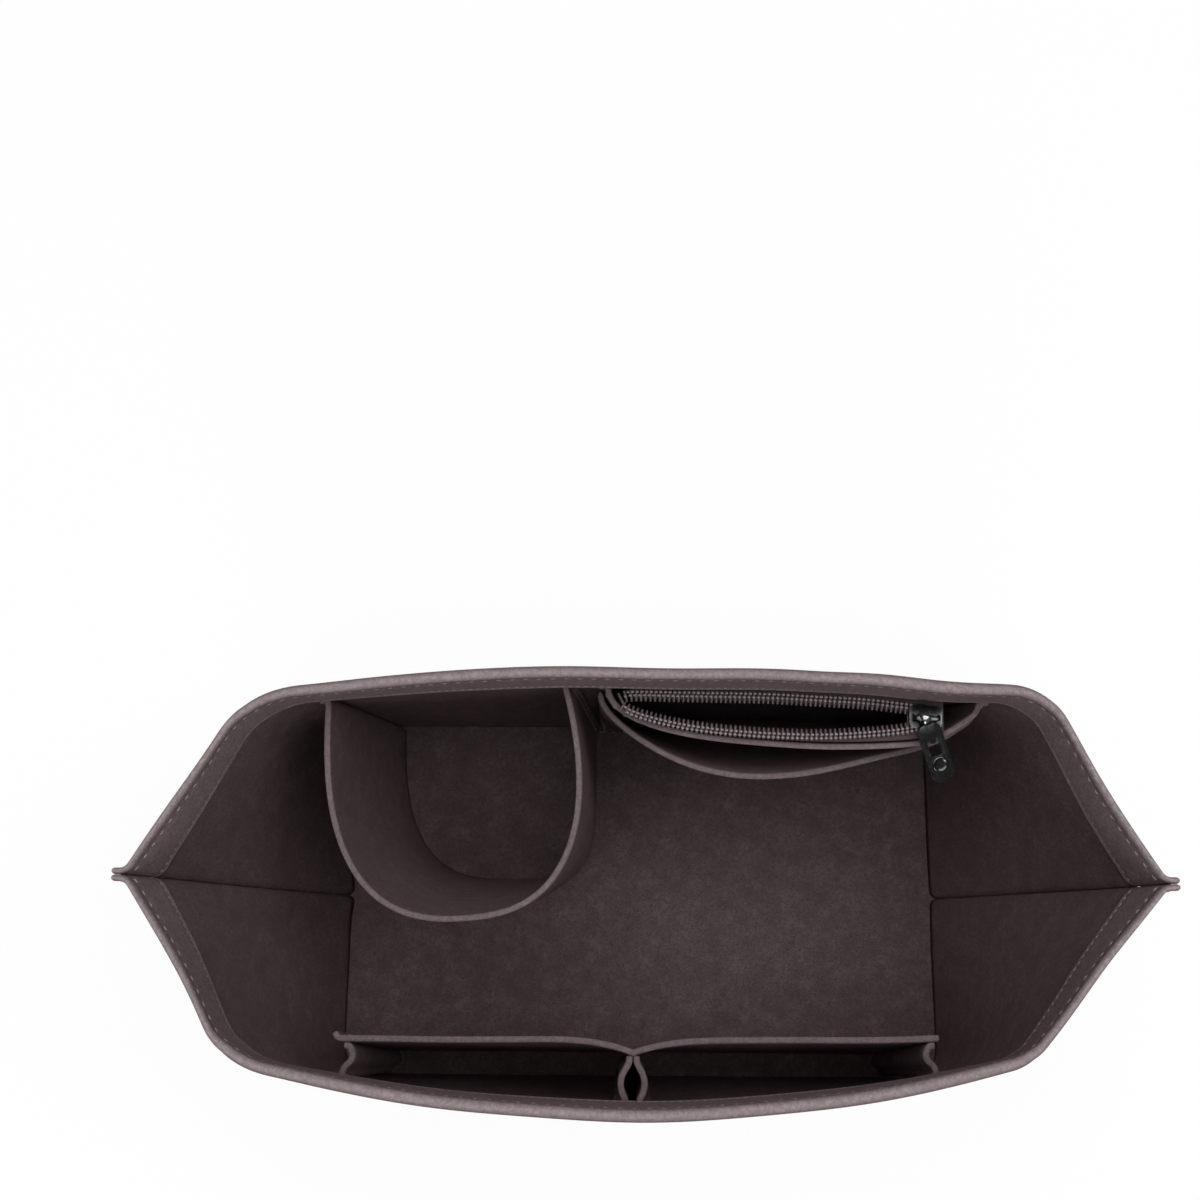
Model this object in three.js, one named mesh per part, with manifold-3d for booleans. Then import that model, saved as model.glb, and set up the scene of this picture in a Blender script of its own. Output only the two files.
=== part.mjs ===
// A felt organizer insert for a shoulder tote: a soft open box with a bottle holder,
// a zip pocket, a slip pocket, two front pockets and a pen loop between them.
// Millimetres, +Z up. The origin is on the underside, below the middle of the base.
// +X runs along the length and +Y points to the back wall, which carries the zip pocket.

import * as THREE from 'three';
import { mergeVertices } from 'three/addons/utils/BufferGeometryUtils.js';
import Module from 'manifold-3d';

const wasm = await Module();
wasm.setup();

// Felt, the gap between two sewn layers, and the gap beside a curved wall
const felt = 2.3;
const gap = 0.3;
const wallGap = 0.5;

// Box: its floor is a rectangle, and its rim is pinched to a point at each end
const baseLength = 260;
const baseWidth = 154;
const height = 150;
const baseCornerRadius = 12;
const endSeamKink = 2.5;
const rimSeamReach = 185;
const finDepth = 4.5;
const seamBendInside = 1.1;
const flangeDepth = 4;
const hemDepth = 19;
const hemEaseHeight = 3;
const hemFlare = 2.3;

// Rim corners of the walls, from the middle of the box
const backLeftReach = 143.5;
const backLeftDepth = 65.3;
const backRightReach = 144.5;
const backRightDepth = 66.2;
const frontLeftReach = 142.5;
const frontLeftDepth = 61.9;
const frontRightReach = 133;
const frontRightDepth = 57.7;

// Long walls: bow of the rim, and swell of the wall below it
const backBow = 10;
const frontBow = 17.5;
const backSwell = 3;
const frontSwell = 3;
const swellPeakShare = 1.5;

// Bottle holder, a tall felt loop on the back wall. A drop is a distance below the rim
const holderDrop = 25;
const holderTop = height - holderDrop;
const holderRimMiddle = -73;
const holderRimHalf = 49;
const holderRimFront = -13.5;
const holderFootMiddle = -64.8;
const holderFootHalf = 45.2;
const holderFootFront = 5.4;
const holderLeftRoundShare = 2.6;
const holderRightRimRoundShare = 3.2;
const holderRightFootRoundShare = 6;
const wallTab = 5;
const panelTab = 3;

// Zip pocket panel on the back wall, and the slip pocket panel in front of it
const zipLipDrop = 27;
const zipLipTop = height - zipLipDrop;
const zipPanelFoot = 22;
const zipPanelHem = 6;
const zipPanelLeft = -15.4;
const zipPanelRightTop = 129;
const zipPanelRightFoot = 112;
const zipPanelDepth = 22.5;
const zipPanelSlackShare = 0.3;
const zipPanelSlackStart = 2;
const zipPanelSlackReach = 16;
const slipLipDrop = 39;
const slipLipTop = height - slipLipDrop;
const slipLayerGap = 0.9;
const slipOpening = 12;
const slipBellyShare = 0.5;
const slipOpeningEndShare = 0.85;
const slipOpeningRoundShare = 3;

// Front pockets: one strip, two folded gussets at its ends and a pen loop behind its middle
const pocketDrop = 29;
const pocketTop = height - pocketDrop;
const pocketLeft = -110.5;
const pocketRight = 107;
const pocketTopSetback = 6.4;
const pocketFootSetback = 11;
const pocketSlant = 1.6;
const pocketMiddle = -3.7;
const pocketNotch = 3.6;
const stubLength = 3.4;
const gussetFold = 2.6;
const gussetKneeShare = 0.4;
const gussetTurnShare = 0.7;
const penLoopBore = 6.4;
const penLoopFootBore = 2.6;
const penLoopNeckShare = 0.12;
const penLoopBellyShare = 0.4;
const penLoopWaistShare = 0.65;
const penLoopTab = 4;

// Zip chain: the line of the closed teeth runs from the slider to the left end
const chainLeft = -8;
const chainLeftLine = 68.5;
const chainRight = 113.5;
const chainRightLine = 62.6;
const toothPitch = 1.78;
const toothWidth = 0.6;
const toothLength = 1.3;
const toothOverlap = 0.35;
const toothSlant = 0.2;
const coilWidth = 2.3;
const coilHeight = 1.8;
const coilDrop = 24.1;
const coilFloor = height - coilDrop;
const frontOpening = 7.8;
const frontOpeningRoundShare = 0.6;
const backOpening = 2.6;
const backOpeningRoundShare = 0.3;
const tapeThickness = 0.6;
const tapeUnderCoil = 1.2;
const tapeDrop = 10;
const tapeShortDrop = 1.5;
const tapeEase = 3;
const tapeFirstReach = 3;

// Slider, its crown and the puller
const sliderMiddle = 106;
const sliderLength = 12;
const sliderNoseWidth = 9.6;
const sliderTailWidth = 8.6;
const plateThickness = 1;
const flangeThickness = 0.7;
const flangeStart = 1.4;
const postWidth = 0.9;
const postLength = 2.6;
const postSetback = 1.2;
const crownRise = 4.6;
const crownWidth = 1.9;
const crownLean = 1.4;
const crownThickness = 0.7;
const crownSpan = 10.4;
const crownShoulder = 1.6;
const springThickness = 0.3;
const springWidth = 1.4;
const springReach = 3.2;
const pawlLength = 0.8;
const pawlSlotLength = 1.8;
const knuckleBore = 4.4;
const knuckleWall = 0.7;
const knuckleLength = 3;
const pullerLength = 26.5;
const pullerWidth = 9.3;
const pullerSetback = 1.2;
const pullerThickness = 1.4;
const pullerShoulder = 4.2;
const pullerYaw = THREE.MathUtils.degToRad(24.5);
const pullerPitch = THREE.MathUtils.degToRad(24);
const windowTop = 8.5;
const windowLength = 6.8;
const windowWidth = 4.5;
const bossRadius = 3.1;
const bossHeight = 0.4;
const bossPlace = 18.9;

// Counts of facets
const bendSteps = 3;
const endSteps = 3;
const foldSteps = 4;
const cornerSteps = 5;
const bowSteps = 14;
const wallShares = [0.12, 0.28, 0.44, 0.6, 0.74, 0.88];
const holderSteps = 24;
const holderShares = [0, 0.25, 0.5, 0.75, 1];
const panelSteps = 16;
const panelShares = [0, 0.12, 0.3, 0.5, 0.7, 0.85, 1];
const spanSteps = 5;
const tapeSteps = 30;
const roundSteps = 12;

const floorTop = felt;
const wallFoot = floorTop + gap;
const hemFoot = height - hemDepth;

const lerp = THREE.MathUtils.lerp;
const clamp = THREE.MathUtils.clamp;
const point2 = (x, y) => new THREE.Vector2(x, y);

const back = {
  sign: 1,
  left: point2(-backLeftReach, backLeftDepth),
  right: point2(backRightReach, backRightDepth),
  bow: backBow,
  swell: backSwell,
};
const front = {
  sign: -1,
  left: point2(-frontLeftReach, frontLeftDepth),
  right: point2(frontRightReach, frontRightDepth),
  bow: frontBow,
  swell: frontSwell,
};

// Colours and finishes: colour, roughness, metalness
function finish(color, roughness, metalness) {
  return new THREE.MeshStandardMaterial({ color, roughness, metalness });
}

const wallFelt = () => finish('#5a4f50', 0.95, 0);
const pocketFelt = () => finish('#635758', 0.95, 0);
const tapeCloth = () => finish('#3f3537', 0.85, 0);
const coilNylon = () => finish('#6b5f60', 0.5, 0);
const gunmetal = () => finish('#5c6060', 0.22, 1);

// One closed solid from points and triangles, with its faces turned outwards
function closedGeometry(points, faces) {
  let volume = 0;
  for (const [a, b, c] of faces) {
    volume += points[a].dot(points[b].clone().cross(points[c]));
  }
  const order = volume < 0 ? faces.map(([a, b, c]) => [a, c, b]) : faces;
  const geometry = new THREE.BufferGeometry();
  geometry.setAttribute('position', new THREE.Float32BufferAttribute(points.flatMap((p) => p.toArray()), 3));
  geometry.setIndex(order.flat());
  geometry.computeVertexNormals();
  return geometry;
}

// A skin over rings of points, closed by caps whose triangles come from the flat outline
function skinRings(rings, outline) {
  const count = outline.length;
  const faces = [];
  for (let i = 0; i + 1 < rings.length; i += 1) {
    for (let j = 0; j < count; j += 1) {
      const a = i * count + j;
      const b = i * count + ((j + 1) % count);
      faces.push([a, b, b + count], [a, b + count, a + count]);
    }
  }
  const last = (rings.length - 1) * count;
  const flat = THREE.ShapeUtils.isClockWise(outline) ? [...outline].reverse() : outline;
  for (const face of THREE.ShapeUtils.triangulateShape([...flat], [])) {
    const [a, b, c] = flat === outline ? face : face.map((k) => count - 1 - k).reverse();
    faces.push([c, b, a], [a, b, c].map((k) => k + last));
  }
  return closedGeometry(rings.flat(), faces);
}

// Offset directions along a plan path, lengthened at a bend so that a felt keeps its thickness
function sideways(path) {
  return path.map((here, i) => {
    const before = path[Math.max(i - 1, 0)];
    const after = path[Math.min(i + 1, path.length - 1)];
    const arrive = (i ? here.clone().sub(before) : after.clone().sub(here)).normalize();
    const leave = (i + 1 < path.length ? after.clone().sub(here) : arrive.clone()).normalize();
    const side = point2(-arrive.y, arrive.x);
    const middle = point2(-arrive.y - leave.y, arrive.x + leave.x).normalize();
    return middle.divideScalar(middle.dot(side));
  });
}

function roundedCorner(before, corner, after, radius, steps) {
  const arrive = corner.clone().sub(before).normalize();
  const leave = after.clone().sub(corner).normalize();
  const turn = Math.atan2(arrive.cross(leave), arrive.dot(leave));
  const start = corner.clone().addScaledVector(arrive, -radius * Math.tan(Math.abs(turn) / 2));
  const inward = point2(-arrive.y, arrive.x).multiplyScalar(radius * Math.sign(turn));
  const centre = start.clone().add(inward);
  const arc = [];
  for (let k = 0; k <= steps; k += 1) {
    arc.push(start.clone().rotateAround(centre, (turn * k) / steps));
  }
  return arc;
}

// A path over corners; each corner gives its radius and steps, and each leg its own steps
function roundedPath(corners, legSteps) {
  const path = [];
  corners.forEach(({ place, radius, steps }, i) => {
    const ends = i === 0 || i === corners.length - 1;
    const arc = ends
      ? [place.clone()]
      : roundedCorner(corners[i - 1].place, place, corners[i + 1].place, radius, steps);
    if (path.length) {
      const from = path.at(-1);
      const count = legSteps[i - 1];
      for (let k = 1; k < count; k += 1) path.push(from.clone().lerp(arc[0], k / count));
    }
    path.push(...arc);
  });
  return path;
}

// Corners of one long wall at a height, on its inner face, with y counted away from the middle
function wallCorners(wall, z) {
  const share = z / height;
  return {
    left: point2(-baseLength / 2, baseWidth / 2).lerp(wall.left, share),
    right: point2(baseLength / 2, baseWidth / 2).lerp(wall.right, share),
  };
}

// One in the middle of a long wall and zero at its corners, in a smooth arc
function middleShare(wall, x, z) {
  const { left, right } = wallCorners(wall, z);
  const across = clamp((2 * x - left.x - right.x) / (right.x - left.x), -1, 1);
  return 1 - across * across;
}

// How far the wall bows out past the chord between its corners
function wallBow(wall, x, z) {
  const share = z / height;
  const swell = wall.swell * Math.sin(Math.PI * share ** swellPeakShare);
  return (wall.bow * share + swell) * middleShare(wall, x, z);
}

// Inner face of a long wall, signed: positive at the back and negative at the front
function wallFace(wall, x, z) {
  const { left, right } = wallCorners(wall, z);
  const chord = lerp(left.y, right.y, (x - left.x) / (right.x - left.x));
  return wall.sign * (chord + wallBow(wall, x, z));
}

// The hem doubles the felt, so both halves of the end seam ease apart below it
function seamLine(z) {
  const share = clamp((z - hemFoot + hemEaseHeight) / hemEaseHeight, 0, 1);
  return gap / 2 + felt * share;
}

// Plan of one shell at a height, on its inner face: fin, end panel, long wall, end panel, fin
function shellPlan(wall, z) {
  const seam = lerp(baseLength / 2 + endSeamKink, rimSeamReach, z / height);
  const line = seamLine(z);
  const { left, right } = wallCorners(wall, z);
  const bend = { radius: felt + seamBendInside, steps: bendSteps };
  const turn = { radius: baseCornerRadius, steps: cornerSteps };
  const corners = [
    { place: point2(-seam - finDepth, line) },
    { place: point2(-seam, line), ...bend },
    { place: left, ...turn },
    { place: right, ...turn },
    { place: point2(seam, line), ...bend },
    { place: point2(seam + finDepth, line) },
  ];
  const path = roundedPath(corners, [1, endSteps, bowSteps, endSteps, 1]);
  return path.map((p) => point2(p.x, p.y + wallBow(wall, p.x, z)));
}

// Cut through a shell: offset from the inner face and height, from the foot over the rim
function shellSection(flange, flare) {
  const outer = wallShares.map((share) => point2(felt, share * hemFoot));
  const inner = wallShares.map((share) => point2(0, share * hemFoot)).reverse();
  const fold = [];
  for (let k = 0; k <= foldSteps; k += 1) {
    const turn = (Math.PI * k) / foldSteps;
    fold.push(point2(felt * Math.cos(turn), height - felt + felt * Math.sin(turn)));
  }
  return [
    point2(0, wallFoot),
    point2(felt + flange, wallFoot),
    point2(felt + flange, wallFoot + felt),
    point2(felt, wallFoot + felt + gap),
    ...outer,
    point2(felt, hemFoot - hemEaseHeight),
    point2(felt, hemFoot),
    ...fold,
    point2(-felt - flare, hemFoot),
    point2(0, hemFoot),
    point2(0, hemFoot - hemEaseHeight),
    ...inner,
  ];
}

// A shell is half of the box: a long wall, two half end panels, the hem and the foot flange
function shellGeometry(wall) {
  const plans = new Map();
  const planAt = (z) => {
    if (!plans.has(z)) {
      const path = shellPlan(wall, z);
      plans.set(z, { path, side: sideways(path) });
    }
    return plans.get(z);
  };
  const foot = planAt(wallFoot).path;
  const seam = foot.at(-1).x - finDepth;
  const rings = foot.map((place, i) => {
    const clear = (place.y - finDepth - felt) / finDepth;
    const beside = Math.abs(place.x) > seam - baseCornerRadius ? clamp(clear, 0, 1) : 1;
    const flare = hemFlare * middleShare(wall, place.x, hemFoot);
    return shellSection(gap + (flangeDepth - gap) * beside, flare).map((cut) => {
      const { path, side } = planAt(cut.y);
      const spot = path[i].clone().addScaledVector(side[i], cut.x);
      return new THREE.Vector3(spot.x, wall.sign * spot.y, cut.y);
    });
  });
  return skinRings(rings, shellSection(gap, hemFlare));
}

// The base panel reaches out under the flanges of both shells
function basePanelGeometry() {
  const reach = felt + flangeDepth;
  const x = baseLength / 2 + reach;
  const y = baseWidth / 2 + reach;
  const seam = x + endSeamKink;
  const radius = baseCornerRadius + reach;
  const turn = { radius, steps: cornerSteps };
  const half = roundedPath(
    [
      { place: point2(seam, 0) },
      { place: point2(x, y), ...turn },
      { place: point2(-x, y), ...turn },
      { place: point2(-seam, 0) },
    ],
    [1, 1, 1],
  );
  const mirrored = half.slice(1, -1).map((p) => point2(-p.x, -p.y));
  const shape = new THREE.Shape([...half, ...mirrored]);
  return new THREE.ExtrudeGeometry(shape, { depth: floorTop, bevelEnabled: false });
}

// A standing strip of felt: planAt gives its middle line at a height
function feltStrip(planAt, heights, thickness = felt) {
  const levels = heights.map((z) => {
    const path = planAt(z);
    return { z, path, side: sideways(path) };
  });
  const corner = ({ z, path, side }, i, offset) => {
    const spot = path[i].clone().addScaledVector(side[i], offset);
    return new THREE.Vector3(spot.x, spot.y, z);
  };
  const rings = levels[0].path.map((_, i) => [
    ...levels.map((level) => corner(level, i, thickness / 2)),
    ...[...levels].reverse().map((level) => corner(level, i, -thickness / 2)),
  ]);
  const outline = [
    ...heights.map((z) => point2(thickness / 2, z)),
    ...[...heights].reverse().map((z) => point2(-thickness / 2, z)),
  ];
  return skinRings(rings, outline);
}

function heightsBetween(foot, top, shares) {
  return shares.map((share) => lerp(foot, top, share));
}

// Middle line of a felt that lies sewn on a long wall
function onWall(wall, x, z) {
  return wallFace(wall, x, z) - wall.sign * (wallGap + felt / 2);
}

// Bottle holder: a rounded loop that is squarer and narrower at its foot
function holderPlan(z) {
  const share = (z - wallFoot) / (holderTop - wallFoot);
  const middle = lerp(holderFootMiddle, holderRimMiddle, share);
  const half = lerp(holderFootHalf, holderRimHalf, share) - felt / 2;
  const right = lerp(holderRightFootRoundShare, holderRightRimRoundShare, share);
  const frontLine = lerp(holderFootFront, holderRimFront, share) + felt / 2;
  const depth = onWall(back, middle, z) - frontLine;
  const path = [];
  for (let k = 0; k <= holderSteps; k += 1) {
    const turn = (Math.PI * k) / holderSteps;
    const power = turn < Math.PI / 2 ? holderLeftRoundShare : right;
    const across = Math.abs(Math.cos(turn)) / half;
    const along = Math.sin(turn) / depth;
    const radius = (across ** power + along ** power) ** (-1 / power);
    const x = middle - radius * Math.cos(turn);
    path.push(point2(x, onWall(back, x, z) - radius * Math.sin(turn)));
  }
  const tab = (x) => point2(x, onWall(back, x, z));
  return [tab(path[0].x - panelTab), ...path, tab(path.at(-1).x + panelTab)];
}

// Zip pocket panel: flat on the wall at its foot, and bellied out in an arc at its lip, which is
// drawn in beyond the slider
function zipPanelPlan(z) {
  const share = clamp((z - zipPanelFoot - zipPanelHem) / (zipLipTop - zipPanelFoot - zipPanelHem), 0, 1);
  const right = lerp(zipPanelRightFoot, zipPanelRightTop, (z - zipPanelFoot) / (zipLipTop - zipPanelFoot));
  const half = (right - zipPanelLeft - felt) / 2;
  const middle = (right + zipPanelLeft) / 2;
  const path = [];
  for (let k = 0; k <= panelSteps; k += 1) {
    const turn = (Math.PI * k) / panelSteps;
    const x = middle - half * Math.cos(turn);
    const beyond = clamp((x - sliderMiddle - zipPanelSlackStart) / zipPanelSlackReach, 0, 1);
    const drawn = 1 - zipPanelSlackShare * beyond * beyond * (3 - 2 * beyond);
    path.push(point2(x, onWall(back, x, z) - zipPanelDepth * drawn * share * Math.sin(turn)));
  }
  const tab = (x) => point2(x, onWall(back, x, z));
  return [tab(path[0].x - panelTab), ...path, tab(path.at(-1).x + panelTab)];
}

// Slip pocket panel: follows the zip panel a layer further out, and gapes along its left part
function slipPanelPlan(z) {
  const under = zipPanelPlan(z);
  const side = sideways(under);
  const share = clamp((z - zipPanelFoot - zipPanelHem) / (slipLipTop - zipPanelFoot - zipPanelHem), 0, 1);
  return under.map((place, i) => {
    const along = (i - 1) / (panelSteps * slipOpeningEndShare);
    const gape = along > 0 && along < 1 ? Math.sin(Math.PI * along) ** slipOpeningRoundShare : 0;
    return place.clone().addScaledVector(side[i], -(felt + slipLayerGap + slipOpening * share ** slipBellyShare * gape));
  });
}

// Middle line of the front pocket strip, counted away from the middle of the box
function pocketLine(x, z) {
  const share = (z - wallFoot) / (pocketTop - wallFoot);
  const across = (x - pocketLeft) / (pocketRight - pocketLeft);
  const end = Math.abs(x - pocketMiddle) / (pocketRight - pocketMiddle);
  const notch = pocketNotch * share * Math.max(0, 1 - 2 * end) ** 2;
  const foot = baseWidth / 2 - pocketFootSetback;
  const top = frontLeftDepth - pocketTopSetback;
  return lerp(foot, top, share) - pocketSlant * share * across + notch;
}

function pocketPlan(z) {
  const path = [];
  for (const [from, to] of [[pocketLeft, pocketMiddle], [pocketMiddle, pocketRight]]) {
    for (let k = path.length ? 1 : 0; k <= spanSteps; k += 1) {
      const x = lerp(from, to, k / spanSteps);
      path.push(point2(x, -pocketLine(x, z)));
    }
  }
  return path;
}

// A gusset closes a pocket's end: sewn to the strip, folded inwards, and sewn to the wall
function gussetPlan(end, inward, z) {
  const start = -pocketLine(end, z) - felt - gap;
  const knee = end + inward * stubLength;
  const foot = end + inward * felt / 2;
  const wallLine = onWall(front, foot, z);
  const depth = start - wallLine;
  return [
    point2(end, start),
    point2(knee, start),
    point2(knee + inward * gussetFold, start - depth * gussetKneeShare),
    point2(foot, start - depth * gussetTurnShare),
    point2(foot, wallLine),
    point2(foot - inward * wallTab, onWall(front, foot - inward * wallTab, z)),
  ];
}

// Half of the pen loop: it leaves the strip's middle, bellies out and is sewn to the wall
function penLoopPlan(side, z) {
  const start = -pocketLine(pocketMiddle, z) - felt / 2 - gap;
  const near = pocketMiddle + side * (felt + gap) / 2;
  const far = pocketMiddle + side * (felt + penLoopBore) / 2;
  const foot = pocketMiddle + side * (felt + penLoopFootBore) / 2;
  const end = foot + side * penLoopTab;
  const wallLine = onWall(front, foot, z);
  const depth = start - wallLine;
  return [
    point2(near, start),
    point2(near, start - depth * penLoopNeckShare),
    point2(far, start - depth * penLoopBellyShare),
    point2(far, start - depth * penLoopWaistShare),
    point2(foot, wallLine + felt),
    point2(foot, wallLine),
    point2(end, onWall(front, end, z)),
  ];
}

// Line of the closed teeth, and how far each row of tooth tips stands off it
function chainLine(x) {
  return lerp(chainLeftLine, chainRightLine, (x - chainLeft) / (chainRight - chainLeft));
}

const closingPoint = sliderMiddle + postSetback / 2;

function tipOffset(opening, round, x) {
  const along = (closingPoint - x) / (sliderMiddle - chainLeft);
  const gape = along > 0 ? Math.sin(Math.PI * Math.min(along, 1)) ** round : 0;
  return opening * gape - toothOverlap;
}

const backTips = (x) => chainLine(x) + tipOffset(backOpening, backOpeningRoundShare, x);
const frontTips = (x) => chainLine(x) - tipOffset(frontOpening, frontOpeningRoundShare, x);

// One row of zip teeth: a comb whose teeth point at the chain line
function coilGeometry(tips, side, phase) {
  const comb = [];
  const spine = [];
  const count = Math.floor((chainRight - chainLeft) / toothPitch - phase);
  for (let k = 0; k < count; k += 1) {
    const x = chainLeft + (k + phase) * toothPitch;
    const left = x - toothWidth / 2;
    const right = x + toothWidth / 2;
    const tip = tips(x);
    const root = tip + side * toothLength;
    const valley = root + side * toothSlant;
    comb.push(point2(left, root), point2(left, tip), point2(right, tip), point2(right, valley));
    if (x < closingPoint + toothPitch || k === count - 1) spine.push(point2(x, root + side * coilWidth));
  }
  const shape = new THREE.Shape([...comb, ...spine.reverse()]);
  const geometry = new THREE.ExtrudeGeometry(shape, { depth: coilHeight, bevelEnabled: false });
  return geometry.translate(0, 0, coilFloor);
}

// Zip tape: flat under the teeth, then turned down along the felt that it is sewn to.
// Where the slider needs the room it lies flat as far as the slider's edge, over the lip.
function tapeGeometry(tips, side, feltFace, from, to) {
  const top = coilFloor - gap;
  const reach = sliderNoseWidth / 2 + wallGap;
  const rings = [];
  const outline = [
    point2(0, 0), point2(1, 0), point2(1, -1), point2(2, -1), point2(2, 1), point2(0, 1),
  ];
  for (let k = 0; k <= tapeSteps; k += 1) {
    const x = lerp(from, to, k / tapeSteps);
    const inner = tips(x) + side * tapeUnderCoil;
    const room = (z, at) => side * (feltFace(at, z) - chainLine(at)) - wallGap;
    const beside = [x - tapeEase, x, x + tapeEase].every((at) => room(top, at) > reach);
    const drop = beside ? tapeDrop : tapeShortDrop;
    const upper = chainLine(x) + side * (beside ? room(top, x) : reach);
    const lower = beside ? chainLine(x) + side * room(top - drop, x) : upper;
    rings.push([
      new THREE.Vector3(x, inner, top - tapeThickness),
      new THREE.Vector3(x, upper - side * tapeThickness, top - tapeThickness),
      new THREE.Vector3(x, lower - side * tapeThickness, top - drop),
      new THREE.Vector3(x, lower, top - drop),
      new THREE.Vector3(x, upper, top),
      new THREE.Vector3(x, inner, top),
    ]);
  }
  return skinRings(rings, outline);
}

// Inner face of the zip panel at a place along the box
function zipPanelFace(x, z) {
  const path = zipPanelPlan(Math.min(z, zipLipTop));
  const side = sideways(path);
  const inner = path.map((place, i) => place.clone().addScaledVector(side[i], felt / 2)).slice(1, -1);
  const i = clamp(inner.findIndex((place) => place.x > x), 1, inner.length - 1);
  const [a, b] = [inner[i - 1], inner[i]];
  return lerp(a.y, b.y, (x - a.x) / (b.x - a.x));
}

// Booleans on closed geometry
function toSolid(geometry) {
  const bare = geometry.clone();
  bare.deleteAttribute('normal');
  bare.deleteAttribute('uv');
  const merged = mergeVertices(bare, felt / 10000);
  return new wasm.Manifold(new wasm.Mesh({
    numProp: 3,
    vertProperties: new Float32Array(merged.attributes.position.array),
    triVerts: new Uint32Array(merged.index.array),
  }));
}

function toGeometry(solid) {
  const { vertProperties, triVerts } = solid.getMesh();
  const geometry = new THREE.BufferGeometry();
  geometry.setAttribute('position', new THREE.BufferAttribute(vertProperties, 3));
  geometry.setIndex(new THREE.BufferAttribute(triVerts, 1));
  geometry.computeVertexNormals();
  return geometry;
}

function joined(geometries) {
  return geometries.map(toSolid).reduce((whole, piece) => whole.add(piece));
}

function plate(outline, from, to) {
  const shape = new THREE.Shape(outline);
  const geometry = new THREE.ExtrudeGeometry(shape, { depth: to - from, bevelEnabled: false });
  return geometry.translate(0, 0, from);
}

// A side outline in X and Z, as wide as asked across the slider
function alongSlider(outline, width) {
  const geometry = plate(outline, -width / 2, width / 2);
  return geometry.rotateX(Math.PI / 2);
}

function rectangle(x0, x1, y0, y1) {
  return [point2(x0, y0), point2(x1, y0), point2(x1, y1), point2(x0, y1)];
}

// Slider: two plates, the post that parts the teeth, and side flanges that hold them together.
// Its own frame has the closed teeth along X and the nose at the left.
const coilTop = coilFloor + coilHeight;
const upperPlateFoot = coilTop + gap;
const upperPlateTop = upperPlateFoot + plateThickness;
const lowerPlateTop = coilFloor - gap - tapeThickness - gap;
const lowerPlateFoot = lowerPlateTop - plateThickness;

function sliderOutline() {
  const nose = -sliderLength / 2;
  const tail = sliderLength / 2;
  const wide = sliderNoseWidth / 2;
  const slim = sliderTailWidth / 2;
  return [
    point2(nose, -wide / 2),
    point2(nose + wide / 2, -wide),
    point2(0, -slim),
    point2(tail - slim / 4, -slim),
    point2(tail, -slim + slim / 4),
    point2(tail, slim - slim / 4),
    point2(tail - slim / 4, slim),
    point2(0, slim),
    point2(nose + wide / 2, wide),
    point2(nose, wide / 2),
  ];
}

function sliderGeometry() {
  const slim = sliderTailWidth / 2;
  const nose = -sliderLength / 2;
  const post = rectangle(nose + postSetback, nose + postSetback + postLength, -postWidth / 2, postWidth / 2);
  const pieces = [
    plate(sliderOutline(), upperPlateFoot, upperPlateTop),
    plate(sliderOutline(), lowerPlateFoot, lowerPlateTop),
    plate(post, lowerPlateFoot + plateThickness / 2, upperPlateTop - plateThickness / 2),
  ];
  for (const side of [-1, 1]) {
    const edges = [side * (slim - flangeThickness), side * slim].sort((a, b) => a - b);
    const flange = rectangle(flangeStart, sliderLength / 2 - slim / 4, ...edges);
    pieces.push(plate(flange, coilFloor, upperPlateFoot + plateThickness / 2));
  }
  const slotWidth = springWidth + 2 * gap;
  const slot = rectangle(pawlPlace, pawlPlace + pawlSlotLength, -slotWidth / 2, slotWidth / 2);
  const opening = plate(slot, upperPlateFoot - gap, upperPlateTop + gap);
  return toGeometry(joined(pieces).subtract(toSolid(opening)));
}

// Crown: a strap that arches over the upper plate from nose to tail, and carries the puller.
// It leans towards the puller's side
const crownFoot = upperPlateTop + gap;
const crownTop = upperPlateTop + crownRise;
const hingeHeight = crownTop - crownThickness / 2;
const hingeLean = (crownLean * (hingeHeight - crownFoot)) / (crownTop - crownFoot);
const pawlPlace = springReach - pawlSlotLength;

function crownGeometry() {
  const half = crownSpan / 2;
  const inner = half - crownThickness;
  const under = crownTop - crownThickness;
  return alongSlider([
    point2(-half, crownFoot),
    point2(-half, crownTop - crownShoulder),
    point2(-half + crownShoulder / 2, crownTop - crownShoulder / 4),
    point2(-half + crownShoulder, crownTop),
    point2(half - crownShoulder, crownTop),
    point2(half - crownShoulder / 2, crownTop - crownShoulder / 4),
    point2(half, crownTop - crownShoulder),
    point2(half, crownFoot),
    point2(inner, crownFoot),
    point2(inner, under - crownShoulder + crownThickness),
    point2(inner - crownShoulder / 2 + crownThickness / 2, under - crownShoulder / 4),
    point2(half - crownShoulder, under),
    point2(-half + crownShoulder, under),
    point2(-inner + crownShoulder / 2 - crownThickness / 2, under - crownShoulder / 4),
    point2(-inner, under - crownShoulder + crownThickness),
    point2(-inner, crownFoot),
  ], crownWidth)
    .translate(0, 0, -crownFoot)
    .applyMatrix4(new THREE.Matrix4().makeShear(0, 0, 0, 0, 0, -crownLean / (crownTop - crownFoot)))
    .translate(0, 0, crownFoot);
}

// Lock spring: a leaf on the upper plate, whose end is a pawl that drops into the plate's slot
function lockSpringGeometry() {
  const foot = crownFoot;
  const top = foot + springThickness;
  const tip = pawlPlace + (pawlSlotLength + pawlLength) / 2;
  return alongSlider([
    point2(-springReach, foot),
    point2(tip - pawlLength, foot),
    point2(tip - pawlLength, upperPlateFoot),
    point2(tip, upperPlateFoot),
    point2(tip, top),
    point2(-springReach, top),
  ], springWidth);
}

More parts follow.
